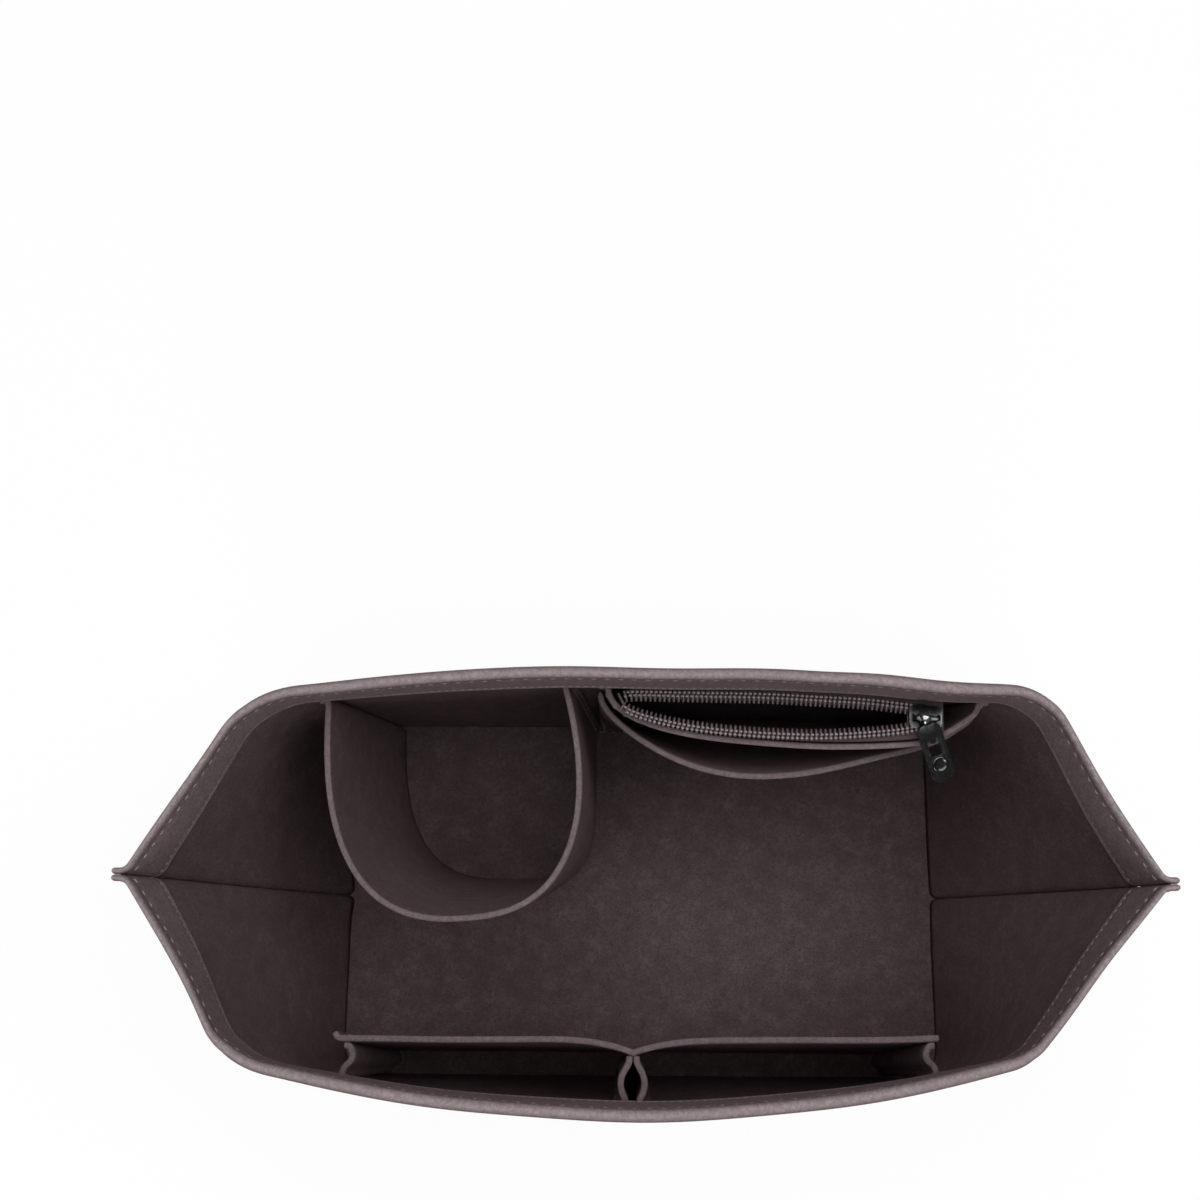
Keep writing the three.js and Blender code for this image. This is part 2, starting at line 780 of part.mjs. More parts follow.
// Puller: a knuckle round the crown, and a flat tab with a window and a plain round boss.
// Its own frame has the knuckle's axis along X and the tab towards -Y.
function pullerGeometry() {
  const bore = knuckleBore / 2;
  const round = bore + knuckleWall;
  const half = pullerWidth / 2;
  const neck = knuckleLength / 2;
  const slab = pullerThickness / 2;
  const tab = new THREE.Shape();
  tab.moveTo(-neck, -bore - knuckleWall / 2);
  tab.lineTo(-neck, -round);
  tab.lineTo(-half, -pullerShoulder);
  tab.lineTo(-half, -pullerLength + half);
  tab.absarc(0, -pullerLength + half, half, Math.PI, 2 * Math.PI, false);
  tab.lineTo(half, -pullerShoulder);
  tab.lineTo(neck, -round);
  tab.lineTo(neck, -bore - knuckleWall / 2);
  const tabPlate = new THREE.ExtrudeGeometry(tab, {
    depth: pullerThickness, bevelEnabled: false, curveSegments: roundSteps,
  }).translate(0, 0, -slab);
  const opening = plate(
    rectangle(-windowWidth / 2, windowWidth / 2, -windowTop - windowLength, -windowTop),
    -pullerThickness,
    pullerThickness,
  );
  const knuckle = new THREE.CylinderGeometry(round, round, knuckleLength, roundSteps);
  const hole = new THREE.CylinderGeometry(bore, bore, 2 * knuckleLength, roundSteps);
  for (const barrel of [knuckle, hole]) barrel.rotateZ(Math.PI / 2);
  const boss = new THREE.CylinderGeometry(bossRadius, bossRadius, bossHeight + slab, roundSteps)
    .rotateX(Math.PI / 2)
    .translate(0, -bossPlace, (slab + bossHeight) / 2);
  const solid = joined([tabPlate, knuckle, boss]).subtract(joined([opening, hole]));
  return toGeometry(solid);
}

// Assembly
const organizer = new THREE.Group();
organizer.name = 'felt_organizer_insert';

function add(name, geometry, material, parent = organizer) {
  const mesh = new THREE.Mesh(geometry, material());
  mesh.name = name;
  parent.add(mesh);
  return mesh;
}

add('back_shell', shellGeometry(back), wallFelt);
add('front_shell', shellGeometry(front), wallFelt);
add('base_panel', basePanelGeometry(), wallFelt);
add('bottle_holder', feltStrip(holderPlan, heightsBetween(wallFoot, holderTop, holderShares)), pocketFelt);

const zipHeights = heightsBetween(zipPanelFoot, zipLipTop, panelShares);
const slipHeights = heightsBetween(zipPanelFoot, slipLipTop, panelShares);
add('zip_pocket_panel', feltStrip(zipPanelPlan, zipHeights), pocketFelt);
add('slip_pocket_panel', feltStrip(slipPanelPlan, slipHeights), pocketFelt);

const pocketHeights = heightsBetween(wallFoot, pocketTop, panelShares);
add('front_pocket_strip', feltStrip(pocketPlan, pocketHeights), pocketFelt);
const endGussets = [['left_end_gusset', pocketLeft, 1], ['right_end_gusset', pocketRight, -1]];
for (const [name, end, inward] of endGussets) {
  add(name, feltStrip((z) => gussetPlan(end, inward, z), pocketHeights), pocketFelt);
}
for (const [name, side] of [['pen_loop_left', -1], ['pen_loop_right', 1]]) {
  add(name, feltStrip((z) => penLoopPlan(side, z), pocketHeights), pocketFelt);
}

const tapeLeft = chainLeft + tapeFirstReach;
const backFace = (x, z) => wallFace(back, x, z);
add('zip_tape_back', tapeGeometry(backTips, 1, backFace, tapeLeft, chainRight), tapeCloth);
add('zip_tape_front', tapeGeometry(frontTips, -1, zipPanelFace, tapeLeft, chainRight), tapeCloth);
add('zip_coil_back', coilGeometry(backTips, 1, 0), coilNylon);
add('zip_coil_front', coilGeometry(frontTips, -1, 1 / 2), coilNylon);

const slider = new THREE.Group();
slider.position.set(sliderMiddle, chainLine(sliderMiddle), 0);
slider.rotation.z = Math.atan2(chainRightLine - chainLeftLine, chainRight - chainLeft);
organizer.add(slider);
add('slider_body', sliderGeometry(), gunmetal, slider);
add('slider_crown', crownGeometry(), gunmetal, slider);
add('slider_lock_spring', lockSpringGeometry(), gunmetal, slider);

const pullerPlace = new THREE.Group();
pullerPlace.position.set(-pullerSetback, -hingeLean, hingeHeight);
pullerPlace.rotation.set(pullerPitch, 0, pullerYaw, 'ZXY');
slider.add(pullerPlace);
add('puller', pullerGeometry(), gunmetal, pullerPlace);

const centre = new THREE.Box3().setFromObject(organizer).getCenter(new THREE.Vector3());
organizer.position.set(-centre.x, -centre.y, 0);

export default organizer;
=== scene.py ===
# %% [markdown]
# A felt organizer insert for a tote bag, dressed for its picture. The solids from the
# CAD step are the frame: they say where each piece is and how it moves. Here each felt
# gets its soft edges, its folded hem and its thread, and the zip gets its real teeth.

# %% Load the frame
import bmesh
import bpy
import math
import numpy as np
from mathutils import Matrix, Vector


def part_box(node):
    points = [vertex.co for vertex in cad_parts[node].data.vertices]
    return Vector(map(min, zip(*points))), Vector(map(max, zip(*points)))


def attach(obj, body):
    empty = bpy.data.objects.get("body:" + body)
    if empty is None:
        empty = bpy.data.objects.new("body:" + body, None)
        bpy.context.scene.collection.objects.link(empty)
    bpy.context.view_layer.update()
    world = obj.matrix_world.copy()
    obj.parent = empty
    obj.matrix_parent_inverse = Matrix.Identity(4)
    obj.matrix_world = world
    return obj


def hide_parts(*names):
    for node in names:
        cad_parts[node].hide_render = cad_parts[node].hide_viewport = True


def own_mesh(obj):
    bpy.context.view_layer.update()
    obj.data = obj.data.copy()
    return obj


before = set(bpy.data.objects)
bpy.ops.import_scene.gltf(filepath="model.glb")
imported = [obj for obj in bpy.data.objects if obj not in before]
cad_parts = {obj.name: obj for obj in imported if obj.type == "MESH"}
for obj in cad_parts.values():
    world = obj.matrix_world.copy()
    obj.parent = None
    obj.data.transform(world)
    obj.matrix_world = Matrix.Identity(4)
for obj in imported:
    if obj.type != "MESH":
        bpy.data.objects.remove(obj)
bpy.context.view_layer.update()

# %% [markdown]
# The CAD step counts in millimetres from the middle of the floor, and its whole box is
# then centred. So the same formulas work here once that small shift along Y is known.
# The floor panel is even on both sides, and its middle gives the shift.

# %% Units and the shift
MM = 0.001
low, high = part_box("base_panel")
SHIFT = (low[1] + high[1]) / 2 / MM
print("shift along Y in mm:", round(SHIFT, 3))

# %% [markdown]
# Two things come up all the time. An object only shows once it is linked to the scene.
# And a node is of little use alone: its inputs take plain values, or the outputs of other
# nodes. So one helper does the first, and two do the second.

# %% Object and node helpers
def add_object(name, data):
    made = bpy.data.objects.new(name, data)
    bpy.context.scene.collection.objects.link(made)
    return made


def fill(node, inputs):
    """Gives each input of a node a plain value, or a link from another node."""
    for key, value in inputs.items():
        if isinstance(value, bpy.types.Node):
            value = value.outputs[0]
        if isinstance(value, bpy.types.NodeSocket):
            node.id_data.links.new(value, node.inputs[key])
        else:
            node.inputs[key].default_value = value
    return node


def add_node(tree, kind, inputs=None, **choices):
    node = tree.nodes.new(kind)
    for name, choice in choices.items():
        setattr(node, name, choice)
    return fill(node, inputs or {})


def times(tree, first, second):
    return add_node(tree, "ShaderNodeMath", {0: first, 1: second}, operation="MULTIPLY").outputs[0]


# %% [markdown]
# The picture looks almost straight down, tilted 13 degrees. A camera is easiest to set
# from three directions: to its right, up, and back towards the viewer. They are the
# columns of its matrix. The camera comes first, so that each piece can be seen at once.

# %% Camera
LENS = 44.48
EYE = (-8.1, -22.4 + SHIFT, 683.6)
VIEW_RIGHT = Vector((0.9999, 0.0066, -0.0142))
VIEW_AHEAD = Vector((-0.0153, 0.2283, -0.9735))


def add_camera():
    data = bpy.data.cameras.new("camera")
    data.lens = LENS
    data.sensor_width = 36
    data.clip_start = 0.01
    camera = add_object("camera", data)
    ahead = VIEW_AHEAD.normalized()
    right = (VIEW_RIGHT - ahead * VIEW_RIGHT.dot(ahead)).normalized()
    up = right.cross(ahead)
    turn = Matrix((right, up, -ahead)).transposed().to_4x4()
    camera.matrix_world = Matrix.Translation(Vector(EYE) * MM) @ turn
    bpy.context.scene.camera = camera
    return camera


print("camera at", tuple(round(v, 3) for v in add_camera().location))

# %% [markdown]
# A plain studio. One wide lamp hangs above, and three small ones stand to the right,
# behind and low in front. So every wall shades the pockets on it, as in the picture. A dim
# even world fills the shadows. The floor is white to the camera, but still takes a shadow.

# %% Studio
FLOOR_HALF, FLOOR_SINK = 3.0, 0.0004
PAPER = (0.86, 0.86, 0.86, 1)
GLOW, GLOW_SHARE = 1.04, 0.9
WORLD_TINT, WORLD_LEVEL = (1, 0.88, 0.89, 1), 0.12
LAMP_AIM = Vector((0, 0, 0.05))


def is_seen(tree):
    """One for rays from the camera, zero for all others."""
    return add_node(tree, "ShaderNodeLightPath").outputs["Is Camera Ray"]


def empty_tree(block):
    block.use_nodes = True
    block.node_tree.nodes.clear()
    return block.node_tree


def add_floor():
    """A pale floor that mixes white light over its shade where the camera sees it."""
    mesh = bpy.data.meshes.new("studio_floor")
    turns = ((-1, -1), (1, -1), (1, 1), (-1, 1))
    mesh.from_pydata([(x * FLOOR_HALF, y * FLOOR_HALF, 0) for x, y in turns], [], [(0, 1, 2, 3)])
    paper = bpy.data.materials.new("studio_paper")
    tree = empty_tree(paper)
    matte = add_node(tree, "ShaderNodeBsdfDiffuse", {"Color": PAPER})
    glow = add_node(tree, "ShaderNodeEmission", {"Color": (1, 1, 1, 1), "Strength": GLOW})
    share = times(tree, is_seen(tree), GLOW_SHARE)
    both = add_node(tree, "ShaderNodeMixShader", {0: share, 1: matte, 2: glow})
    add_node(tree, "ShaderNodeOutputMaterial", {"Surface": both})
    mesh.materials.append(paper)
    floor = add_object("studio_floor", mesh)
    floor.location.z = -FLOOR_SINK


def add_lamp(name, place, size, watts):
    data = bpy.data.lights.new(name, "AREA")
    data.size = size
    data.energy = watts
    lamp = add_object(name, data)
    lamp.location = place
    lamp.rotation_euler = (LAMP_AIM - Vector(place)).to_track_quat("-Z", "Y").to_euler()


def add_world():
    world = bpy.data.worlds.new("studio_world")
    bpy.context.scene.world = world
    tree = empty_tree(world)
    even = add_node(tree, "ShaderNodeBackground", {"Color": WORLD_TINT, "Strength": WORLD_LEVEL})
    white = add_node(tree, "ShaderNodeBackground", {"Strength": 1.0})
    both = add_node(tree, "ShaderNodeMixShader", {0: is_seen(tree), 1: even, 2: white})
    add_node(tree, "ShaderNodeOutputWorld", {"Surface": both})


add_floor()
add_lamp("lamp_above", (0, 0.1, 1.6), 1.6, 12.5)
add_lamp("lamp_right", (0.9, 0.2, 1.5), 0.6, 3.2)
add_lamp("lamp_behind", (-0.15, 0.95, 1.5), 0.8, 2.8)
add_lamp("lamp_front", (0, -1.4, 0.6), 0.6, 6.3)
add_world()
bpy.context.scene.view_settings.view_transform = "Standard"
print("studio: floor, four lamps and a world")

# %% [markdown]
# Felt is a mat of short fibres with no weave. From near it shows darker and lighter
# hairs, from further off a faint cloud of tone. Two noises give the tone, and a third,
# strongly distorted one gives the hairs and the bump. Each felt mesh also carries a number
# called edge_and_highlight, and the material reads it to go lighter there. It stands partly
# for the loose fibre of a cut edge, and partly for painted highlight: the tops of cut edges
# and folds, and the hem, are painted lighter where light falls on them.

# %% Material helpers
def srgb(red, green, blue):
    """A colour written as screen values from 0 to 255, as the shader wants it."""
    out = []
    for value in (red, green, blue):
        share = value / 255
        out.append(share / 12.92 if share <= 0.04045 else ((share + 0.055) / 1.055) ** 2.4)
    return (*out, 1.0)


def new_material(name):
    """A material, its tree, its shader, and the piece's own coordinates."""
    material = bpy.data.materials.new(name)
    material.use_nodes = True
    tree = material.node_tree
    place = add_node(tree, "ShaderNodeTexCoord").outputs["Object"]
    return material, tree, tree.nodes["Principled BSDF"], place


def noise(tree, coords, scale, detail, rough=0.5, twist=0.0):
    return add_node(tree, "ShaderNodeTexNoise", {
        "Vector": coords, "Scale": scale, "Detail": detail, "Roughness": rough,
        "Distortion": twist,
    }).outputs["Fac"]


def remap(tree, value, from_low, from_high, to_low=0.0, to_high=1.0):
    return add_node(tree, "ShaderNodeMapRange", {
        "Value": value, "From Min": from_low, "From Max": from_high,
        "To Min": to_low, "To Max": to_high,
    }).outputs["Result"]


def blend_colours(tree, share, first, second):
    """Mixes two colours, each a tuple or a node's output."""
    inputs = {"Factor": share, 6: first, 7: second}
    return add_node(tree, "ShaderNodeMix", inputs, data_type="RGBA").outputs[2]


def bump(tree, height, strength, distance, before=None):
    inputs = {"Height": height, "Strength": strength, "Distance": distance}
    if before is not None:
        inputs["Normal"] = before
    return add_node(tree, "ShaderNodeBump", inputs).outputs["Normal"]


# %% Felt material
EDGE_SHADE = 0.72


def felt_material(name, deep, plain, hair, edge_and_highlight_tone):
    material, tree, shader, place = new_material(name)
    cloud = remap(tree, noise(tree, place, 130, 3), 0.32, 0.68, 0.1, 0.9)
    speck = remap(tree, noise(tree, place, 620, 5, 0.7, 0.8), 0.4, 0.6)
    fibre = noise(tree, place, 1300, 5, 0.65, 2.6)
    hairs = remap(tree, fibre, 0.5, 0.66)
    soft = blend_colours(tree, cloud, deep, plain)
    mottled = blend_colours(tree, remap(tree, speck, 0, 1, 0.9, 0), soft, deep)
    hairy = blend_colours(tree, remap(tree, hairs, 0, 1, 0, 0.6), mottled, hair)
    # edge_and_highlight and rim give the share of the light tone: partly edge fibre, partly
    # painted highlight.
    edge_and_highlight = add_node(tree, "ShaderNodeAttribute", attribute_name="edge_and_highlight").outputs["Fac"]
    shaded = (*(EDGE_SHADE * v for v in edge_and_highlight_tone[:3]), 1)
    flecked_edge_and_highlight = blend_colours(tree, speck, shaded, edge_and_highlight_tone)
    rim = remap(tree, edge_and_highlight, 0, 1, 0, 0.9)
    fill(shader, {
        "Base Color": blend_colours(tree, rim, hairy, flecked_edge_and_highlight),
        "Normal": bump(tree, fibre, 0.8, 0.0004, bump(tree, speck, 0.5, 0.0004)),
        "Roughness": 1.0, "Specular IOR Level": 0.12,
        "Sheen Weight": 0.22, "Sheen Roughness": 0.55, "Sheen Tint": srgb(205, 172, 176),
    })
    return material


# The light tone: edge fibre, and painted highlight on folds, cut edges and the hem.
FELT_EDGE_AND_HIGHLIGHT = srgb(204, 190, 191)
FELT_TONES = srgb(82, 67, 69), srgb(112, 96, 98), srgb(140, 124, 125), FELT_EDGE_AND_HIGHLIGHT
# The floor's felt is the walls' felt painted lighter: painted light on the floor, as if more light
# fell there.
FLOOR_LIT_TONES = srgb(90, 75, 77), srgb(123, 107, 109), srgb(152, 136, 137), FELT_EDGE_AND_HIGHLIGHT
wall_felt = felt_material("wall_felt", *FELT_TONES)
pocket_felt = felt_material("pocket_felt", *FELT_TONES)
floor_felt_painted_light = felt_material("floor_felt_painted_light", *FLOOR_LIT_TONES)
print("felt materials:", wall_felt.name, pocket_felt.name, floor_felt_painted_light.name)

# %% [markdown]
# Thread is two strands twisted together, tape is a fine twill, and the teeth are a
# smooth nylon. Each one is a small pattern: a wave for the twist, two crossed waves for
# the weave, and a little noise for the nylon.

# %% Thread, tape and nylon
def wave(tree, coords, scale, turn):
    facing = add_node(tree, "ShaderNodeMapping", {"Vector": coords, "Rotation": turn})
    return add_node(tree, "ShaderNodeTexWave", {"Vector": facing, "Scale": scale}).outputs["Fac"]


def twist(tree, place):
    return wave(tree, place, 900, (0.3, 0.2, 0.8))


def weave(tree, place):
    crossed = {k: wave(tree, place, 420, (0, 0, turn)) for k, turn in enumerate((0.7, -0.7))}
    return add_node(tree, "ShaderNodeMath", crossed, operation="MAXIMUM").outputs[0]


def haze(tree, place):
    return remap(tree, noise(tree, place, 500, 3), 0.35, 0.65)


def patterned(name, pattern, dark, light, strength, depth, looks):
    """Two tones and a relief that both follow one pattern."""
    material, tree, shader, place = new_material(name)
    share = pattern(tree, place)
    fill(shader, {
        "Base Color": blend_colours(tree, share, srgb(*dark), srgb(*light)),
        "Normal": bump(tree, share, strength, depth), **looks,
    })
    return material


sewing_thread = patterned(
    "sewing_thread", twist, (142, 129, 130), (190, 178, 178), 0.5, 0.0001,
    {"Roughness": 0.7, "Sheen Weight": 0.2},
)
tape_cloth = patterned(
    "tape_cloth", weave, (58, 47, 49), (92, 80, 81), 0.6, 0.0002, {"Roughness": 0.85}
)
coil_nylon = patterned(
    "coil_nylon", haze, (88, 75, 77), (112, 99, 101), 0.1, 0.0001, {"Roughness": 0.38}
)
print("thread, tape and nylon ready")

# %% [markdown]
# The slider is cast zinc with a dark, glossy plating. Cast parts are never perfectly
# even, so a slow noise varies the gloss and a faint bump breaks up the reflections. On
# the slider's body the colour holds painted light: dark on level faces, and a painted
# highlight, nearly white, on the sloped faces along the edges. The barrel of the pull tab
# is a lighter copy of the metal, also a painted highlight.

# %% Plated metal
def worn(tree, place):
    return remap(tree, noise(tree, place, 900, 4, 0.6), 0.4, 0.7)


# One on level faces, which keep the dark plating; sloped faces get a painted highlight.
def levelness(tree, place):
    facing = add_node(tree, "ShaderNodeNewGeometry").outputs["Normal"]
    upward = add_node(tree, "ShaderNodeSeparateXYZ", {0: facing}).outputs["Z"]
    return remap(tree, upward, 0.965, 0.997)


def plated(name, pattern, first, second, dented=True):
    material, tree, shader, place = new_material(name)
    tone = blend_colours(tree, pattern(tree, place), srgb(*first), srgb(*second))
    gloss = remap(tree, noise(tree, place, 600, 3), 0.3, 0.7, 0.14, 0.26)
    fill(shader, {"Base Color": tone, "Roughness": gloss, "Metallic": 1.0})
    if dented:
        fill(shader, {"Normal": bump(tree, noise(tree, place, 260, 2), 0.08, 0.0003)})
    return material


gunmetal = plated("gunmetal", worn, (82, 86, 85), (108, 112, 111))
# The barrel is a lighter copy of the gunmetal: a painted highlight on the ring.
barrel_metal_painted_highlight = plated("barrel_metal_painted_highlight", worn, (160, 164, 162), (190, 194, 192))
# The slider's sloped faces get a painted highlight, nearly white; its level faces stay dark.
slider_highlight_metal = plated("slider_plating_painted_highlights", levelness, (226, 229, 227), (58, 62, 61), dented=False)
print("metals ready:", gunmetal.name, barrel_metal_painted_highlight.name, slider_highlight_metal.name)

# %% [markdown]
# Each piece is a mesh made from points in millimetres. Another helper closes a grid of
# rings into a skin.

# %% Helpers for pieces
def new_object(name, points, faces, material, edge_and_highlight=None):
    mesh = bpy.data.meshes.new(name)
    mesh.from_pydata((np.asarray(points) * MM).tolist(), [], faces)
    mesh.validate()
    if edge_and_highlight is not None:
        mesh.attributes.new("edge_and_highlight", "FLOAT", "POINT").data.foreach_set("value", edge_and_highlight)
    mesh.materials.append(material)
    mesh.polygons.foreach_set("use_smooth", [True] * len(mesh.polygons))
    mesh.update()
    return add_object(name, mesh)


def settle(piece, body, slot, *nodes):
    """Rides the piece on its body and hides the solids it stands for; its slot is not used."""
    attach(piece, body)
    if nodes:
        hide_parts(*nodes)
    print(f"{piece.name}: {len(piece.data.polygons)} faces on {body}")
    return piece


def face_out(piece):
    """Turns all faces outwards, after doubles are merged."""
    work = bmesh.new()
    work.from_mesh(piece.data)
    bmesh.ops.remove_doubles(work, verts=work.verts, dist=0.00001)
    bmesh.ops.triangulate(work, faces=[f for f in work.faces if len(f.verts) > 4])
    bmesh.ops.recalc_face_normals(work, faces=work.faces)
    work.to_mesh(piece.data)
    work.free()
    return piece


def skin(rings):
    """Points and faces over rings of equal length; each ring is a closed loop."""
    rings = np.asarray(rings)
    count, loop = rings.shape[:2]
    faces = []
    for i in range(count - 1):
        for j in range(loop):
            a, b = i * loop + j, i * loop + (j + 1) % loop
            faces.append((a, b, b + loop, a + loop))
    faces.append(tuple(range(loop))[::-1])
    faces.append(tuple(range((count - 1) * loop, count * loop)))
    return rings.reshape(-1, 3), faces


# %% [markdown]
# Sewn felt is never quite flat. Instead of denting each piece by itself, which would
# push neighbours into each other, one gentle ripple bends the space that they all stand
# in. It grows with height, so the floor stays flat, and it dies out near the slider.

# %% The ripple
SLIDER_X = 106.0
HEIGHT = 150.0


def ease(value, start, end):
    """Rises smoothly from zero at start to one at end."""
    t = np.clip((value - start) / (end - start), 0, 1)
    return t * t * (3 - 2 * t)


def hill(value, centre, width):
    return np.exp(-(((value - centre) / width) ** 2))


def drift(x, y):
    """How far the rim strays from its plain curve, towards the back of the box."""
    back = 0.5 + 2.4 * ease(x, 60, 110) + 0.9 * hill(x, -75, 32) - 1.3 * hill(x, 10, 35)
    front = 0.4 + 0.9 * np.tanh((x - 5) / 50) + 0.8 * hill(x, 0, 40)
    middle = 1 - ease(np.abs(x), 138, 176)
    tip = 1.7 * ease(-x, 110, 180) + 0.4 * ease(x, 130, 180)
    return np.where(y > 0, back, front) * middle * np.clip(y / 72, -1.1, 1.1) + tip


def end_drift(x, y):
    """The end panels stray a little along the box, each in its own way."""
    left = -hill(x, -143, 15) * (2.3 * ease(y, 0, 30) + 4.0 * ease(-y, 0, 30))
    right = 1.8 * hill(x, 147, 14) * ease(y, 0, 50) - 0.9 * hill(x, 163, 13) * ease(-y, 0, 30)
    return left + right - 0.8 * ease(x, 140, 180) - 0.5 * ease(-x, 140, 180)


def foot_drift(x, y, z):
    """The end seams draw the foot of both end panels in."""
    pull = 3.4 * hill(y, 0, 55) + np.where(x < 0, 1.6 * hill(y, 0, 8), 0)
    return -np.sign(x) * pull * ease(np.abs(x), 110, 126) * np.exp(-np.abs(z) / 60)


def ripple(points):
    p = np.array(points, float)
    x, y, z = p[..., 0].copy(), p[..., 1].copy(), p[..., 2].copy()
    near = np.exp(-(((x - SLIDER_X) / 22) ** 2 + ((y - 63) / 16) ** 2))
    calm = 1 - near * np.clip((z - 90) / 20, 0, 1)
    grow = np.clip(z / HEIGHT, 0, 1) * calm
    wander = 0.3 * np.sin(x / 27 + 1.3) + 0.16 * np.sin(x / 12.5 + z / 33)
    p[..., 1] += grow * wander + grow ** 1.5 * drift(x, y)
    p[..., 0] += grow * 0.4 * np.sin(y / 19 + z / 41) + grow ** 1.5 * end_drift(x, y)
    p[..., 0] += foot_drift(x, y, z)
    p[..., 2] += grow ** 3 * (0.35 * np.sin(x / 31 + 2.1) + 0.2 * np.sin(x / 14 + y / 30))
    p[..., 1] += SHIFT
    return p


print("ripple at the rim:", ripple([[0, 78, 150]]).round(2).tolist())

# %% [markdown]
# The two walls follow a rule, so they are made by formula. At each height the plan of a
# wall is a path: fin, end panel, corner, bowed long side, corner, end panel, fin. The
# corners spread from the floor's rectangle to the pinched rim, as in the CAD step.

# %% Sizes of the walls
FELT, GAP, WALL_GAP = 2.3, 0.3, 0.5
BASE_HALF_X, BASE_HALF_Y = 130.0, 77.0
CORNER_RADIUS, SEAM_KINK, SEAM_REACH = 12.0, 2.5, 185.0
FIN_DEPTH, SEAM_BEND, RIM_BEND = 4.5, 1.1, 2.0
FLANGE, HEM_DEPTH, HEM_EASE, HEM_FLARE = 4.0, 19.0, 3.0, 2.3
HEM_FOOT = HEIGHT - HEM_DEPTH
WALL_FOOT = FELT + GAP
SWELL_PEAK = 1.5
SEAM_TOUCH = 0.02
PRESSED, HALF_PRESSED = 0.52, 0.72
WALL_LEGS = (3, 14, 60, 14, 3)
SEAM_BEND_STEPS, CORNER_STEPS = 7, 12
BACK = {
    "sign": 1, "left": (-143.5, 65.3), "right": (144.5, 66.2), "bow": 10.0, "swell": 3.0,
    "round": (31.0, 21.0),
}
FRONT = {
    "sign": -1, "left": (-142.5, 61.9), "right": (133.0, 57.7), "bow": 17.5, "swell": 3.0,
    "round": (25.5, 15.0),
}


def mix(a, b, share):
    return a + (b - a) * share


def seam_at(z):
    return mix(BASE_HALF_X + SEAM_KINK, SEAM_REACH, z / HEIGHT)


def wall_corners(wall, z):
    share = z / HEIGHT
    left = mix(np.array((-BASE_HALF_X, BASE_HALF_Y)), np.array(wall["left"]), share)
    right = mix(np.array((BASE_HALF_X, BASE_HALF_Y)), np.array(wall["right"]), share)
    return left, right


def middle_share(wall, x, z):
    """One in the middle of a long wall, and zero at its corners."""
    left, right = wall_corners(wall, z)
    across = np.clip((2 * x - left[0] - right[0]) / (right[0] - left[0]), -1, 1)
    return 1 - across * across


def wall_bow(wall, x, z):
    share = z / HEIGHT
    swell = wall["swell"] * math.sin(math.pi * share ** SWELL_PEAK)
    return (wall["bow"] * share + swell) * middle_share(wall, x, z)


def wall_face(wall, x, z):
    left, right = wall_corners(wall, z)
    chord = mix(left[1], right[1], (x - left[0]) / (right[0] - left[0]))
    return wall["sign"] * (chord + wall_bow(wall, x, z))


# %% Paths with rounded corners
def sideways(path):
    """Sideways direction at each point, lengthened at a bend to keep the thickness."""
    path = np.asarray(path)
    step = np.diff(path, axis=0)
    step /= np.linalg.norm(step, axis=1)[:, None]
    arrive = np.vstack([step[:1], step])
    leave = np.vstack([step, step[-1:]])
    turn = lambda d: np.stack([-d[:, 1], d[:, 0]], axis=1)
    middle = turn(arrive) + turn(leave)
    middle /= np.linalg.norm(middle, axis=1)[:, None]
    return middle / np.sum(middle * turn(arrive), axis=1)[:, None]


def rounded_path(corners, legs):
    """corners are (x, y, radius, steps); legs are the steps between them."""
    path = []
    for i, (x, y, radius, steps) in enumerate(corners):
        here = np.array((x, y))
        if radius == 0:
            arc = [here]
        else:
            arrive = here - np.array(corners[i - 1][:2])
            leave = np.array(corners[i + 1][:2]) - here
            arrive, leave = arrive / np.linalg.norm(arrive), leave / np.linalg.norm(leave)
            cross = arrive[0] * leave[1] - arrive[1] * leave[0]
            angle = math.atan2(cross, float(arrive @ leave))
            start = here - arrive * radius * math.tan(abs(angle) / 2)
            inward = np.array((-arrive[1], arrive[0])) * radius * np.sign(angle)
            centre = start + inward
            arc = []
            for k in range(steps + 1):
                a = angle * k / steps
                c, s = math.cos(a), math.sin(a)
                spoke = start - centre
                arc.append(centre + (c * spoke[0] - s * spoke[1], s * spoke[0] + c * spoke[1]))
        if path:
            count = legs[i - 1]
            path += [mix(path[-1], arc[0], k / count) for k in range(1, count)]
        path += arc
    return np.array(path)


def in_hem(z):
    return min(max((z - HEM_FOOT + HEM_EASE) / HEM_EASE, 0), 1)


def pressed(count, z):
    """How far the end seam presses the hem flat, for each point of a wall's path."""
    seam = WALL_LEGS[0] + SEAM_BEND_STEPS
    corner = seam + WALL_LEGS[1] + CORNER_STEPS
    place = np.arange(count)
    place = np.minimum(place, count - 1 - place)
    thick = PRESSED + (HALF_PRESSED - PRESSED) * ease(place, seam - 2, seam + 8)
    thick = thick + (1 - HALF_PRESSED) * ease(place, seam + 10, corner + 8)
    return mix(1.0, thick, in_hem(z))


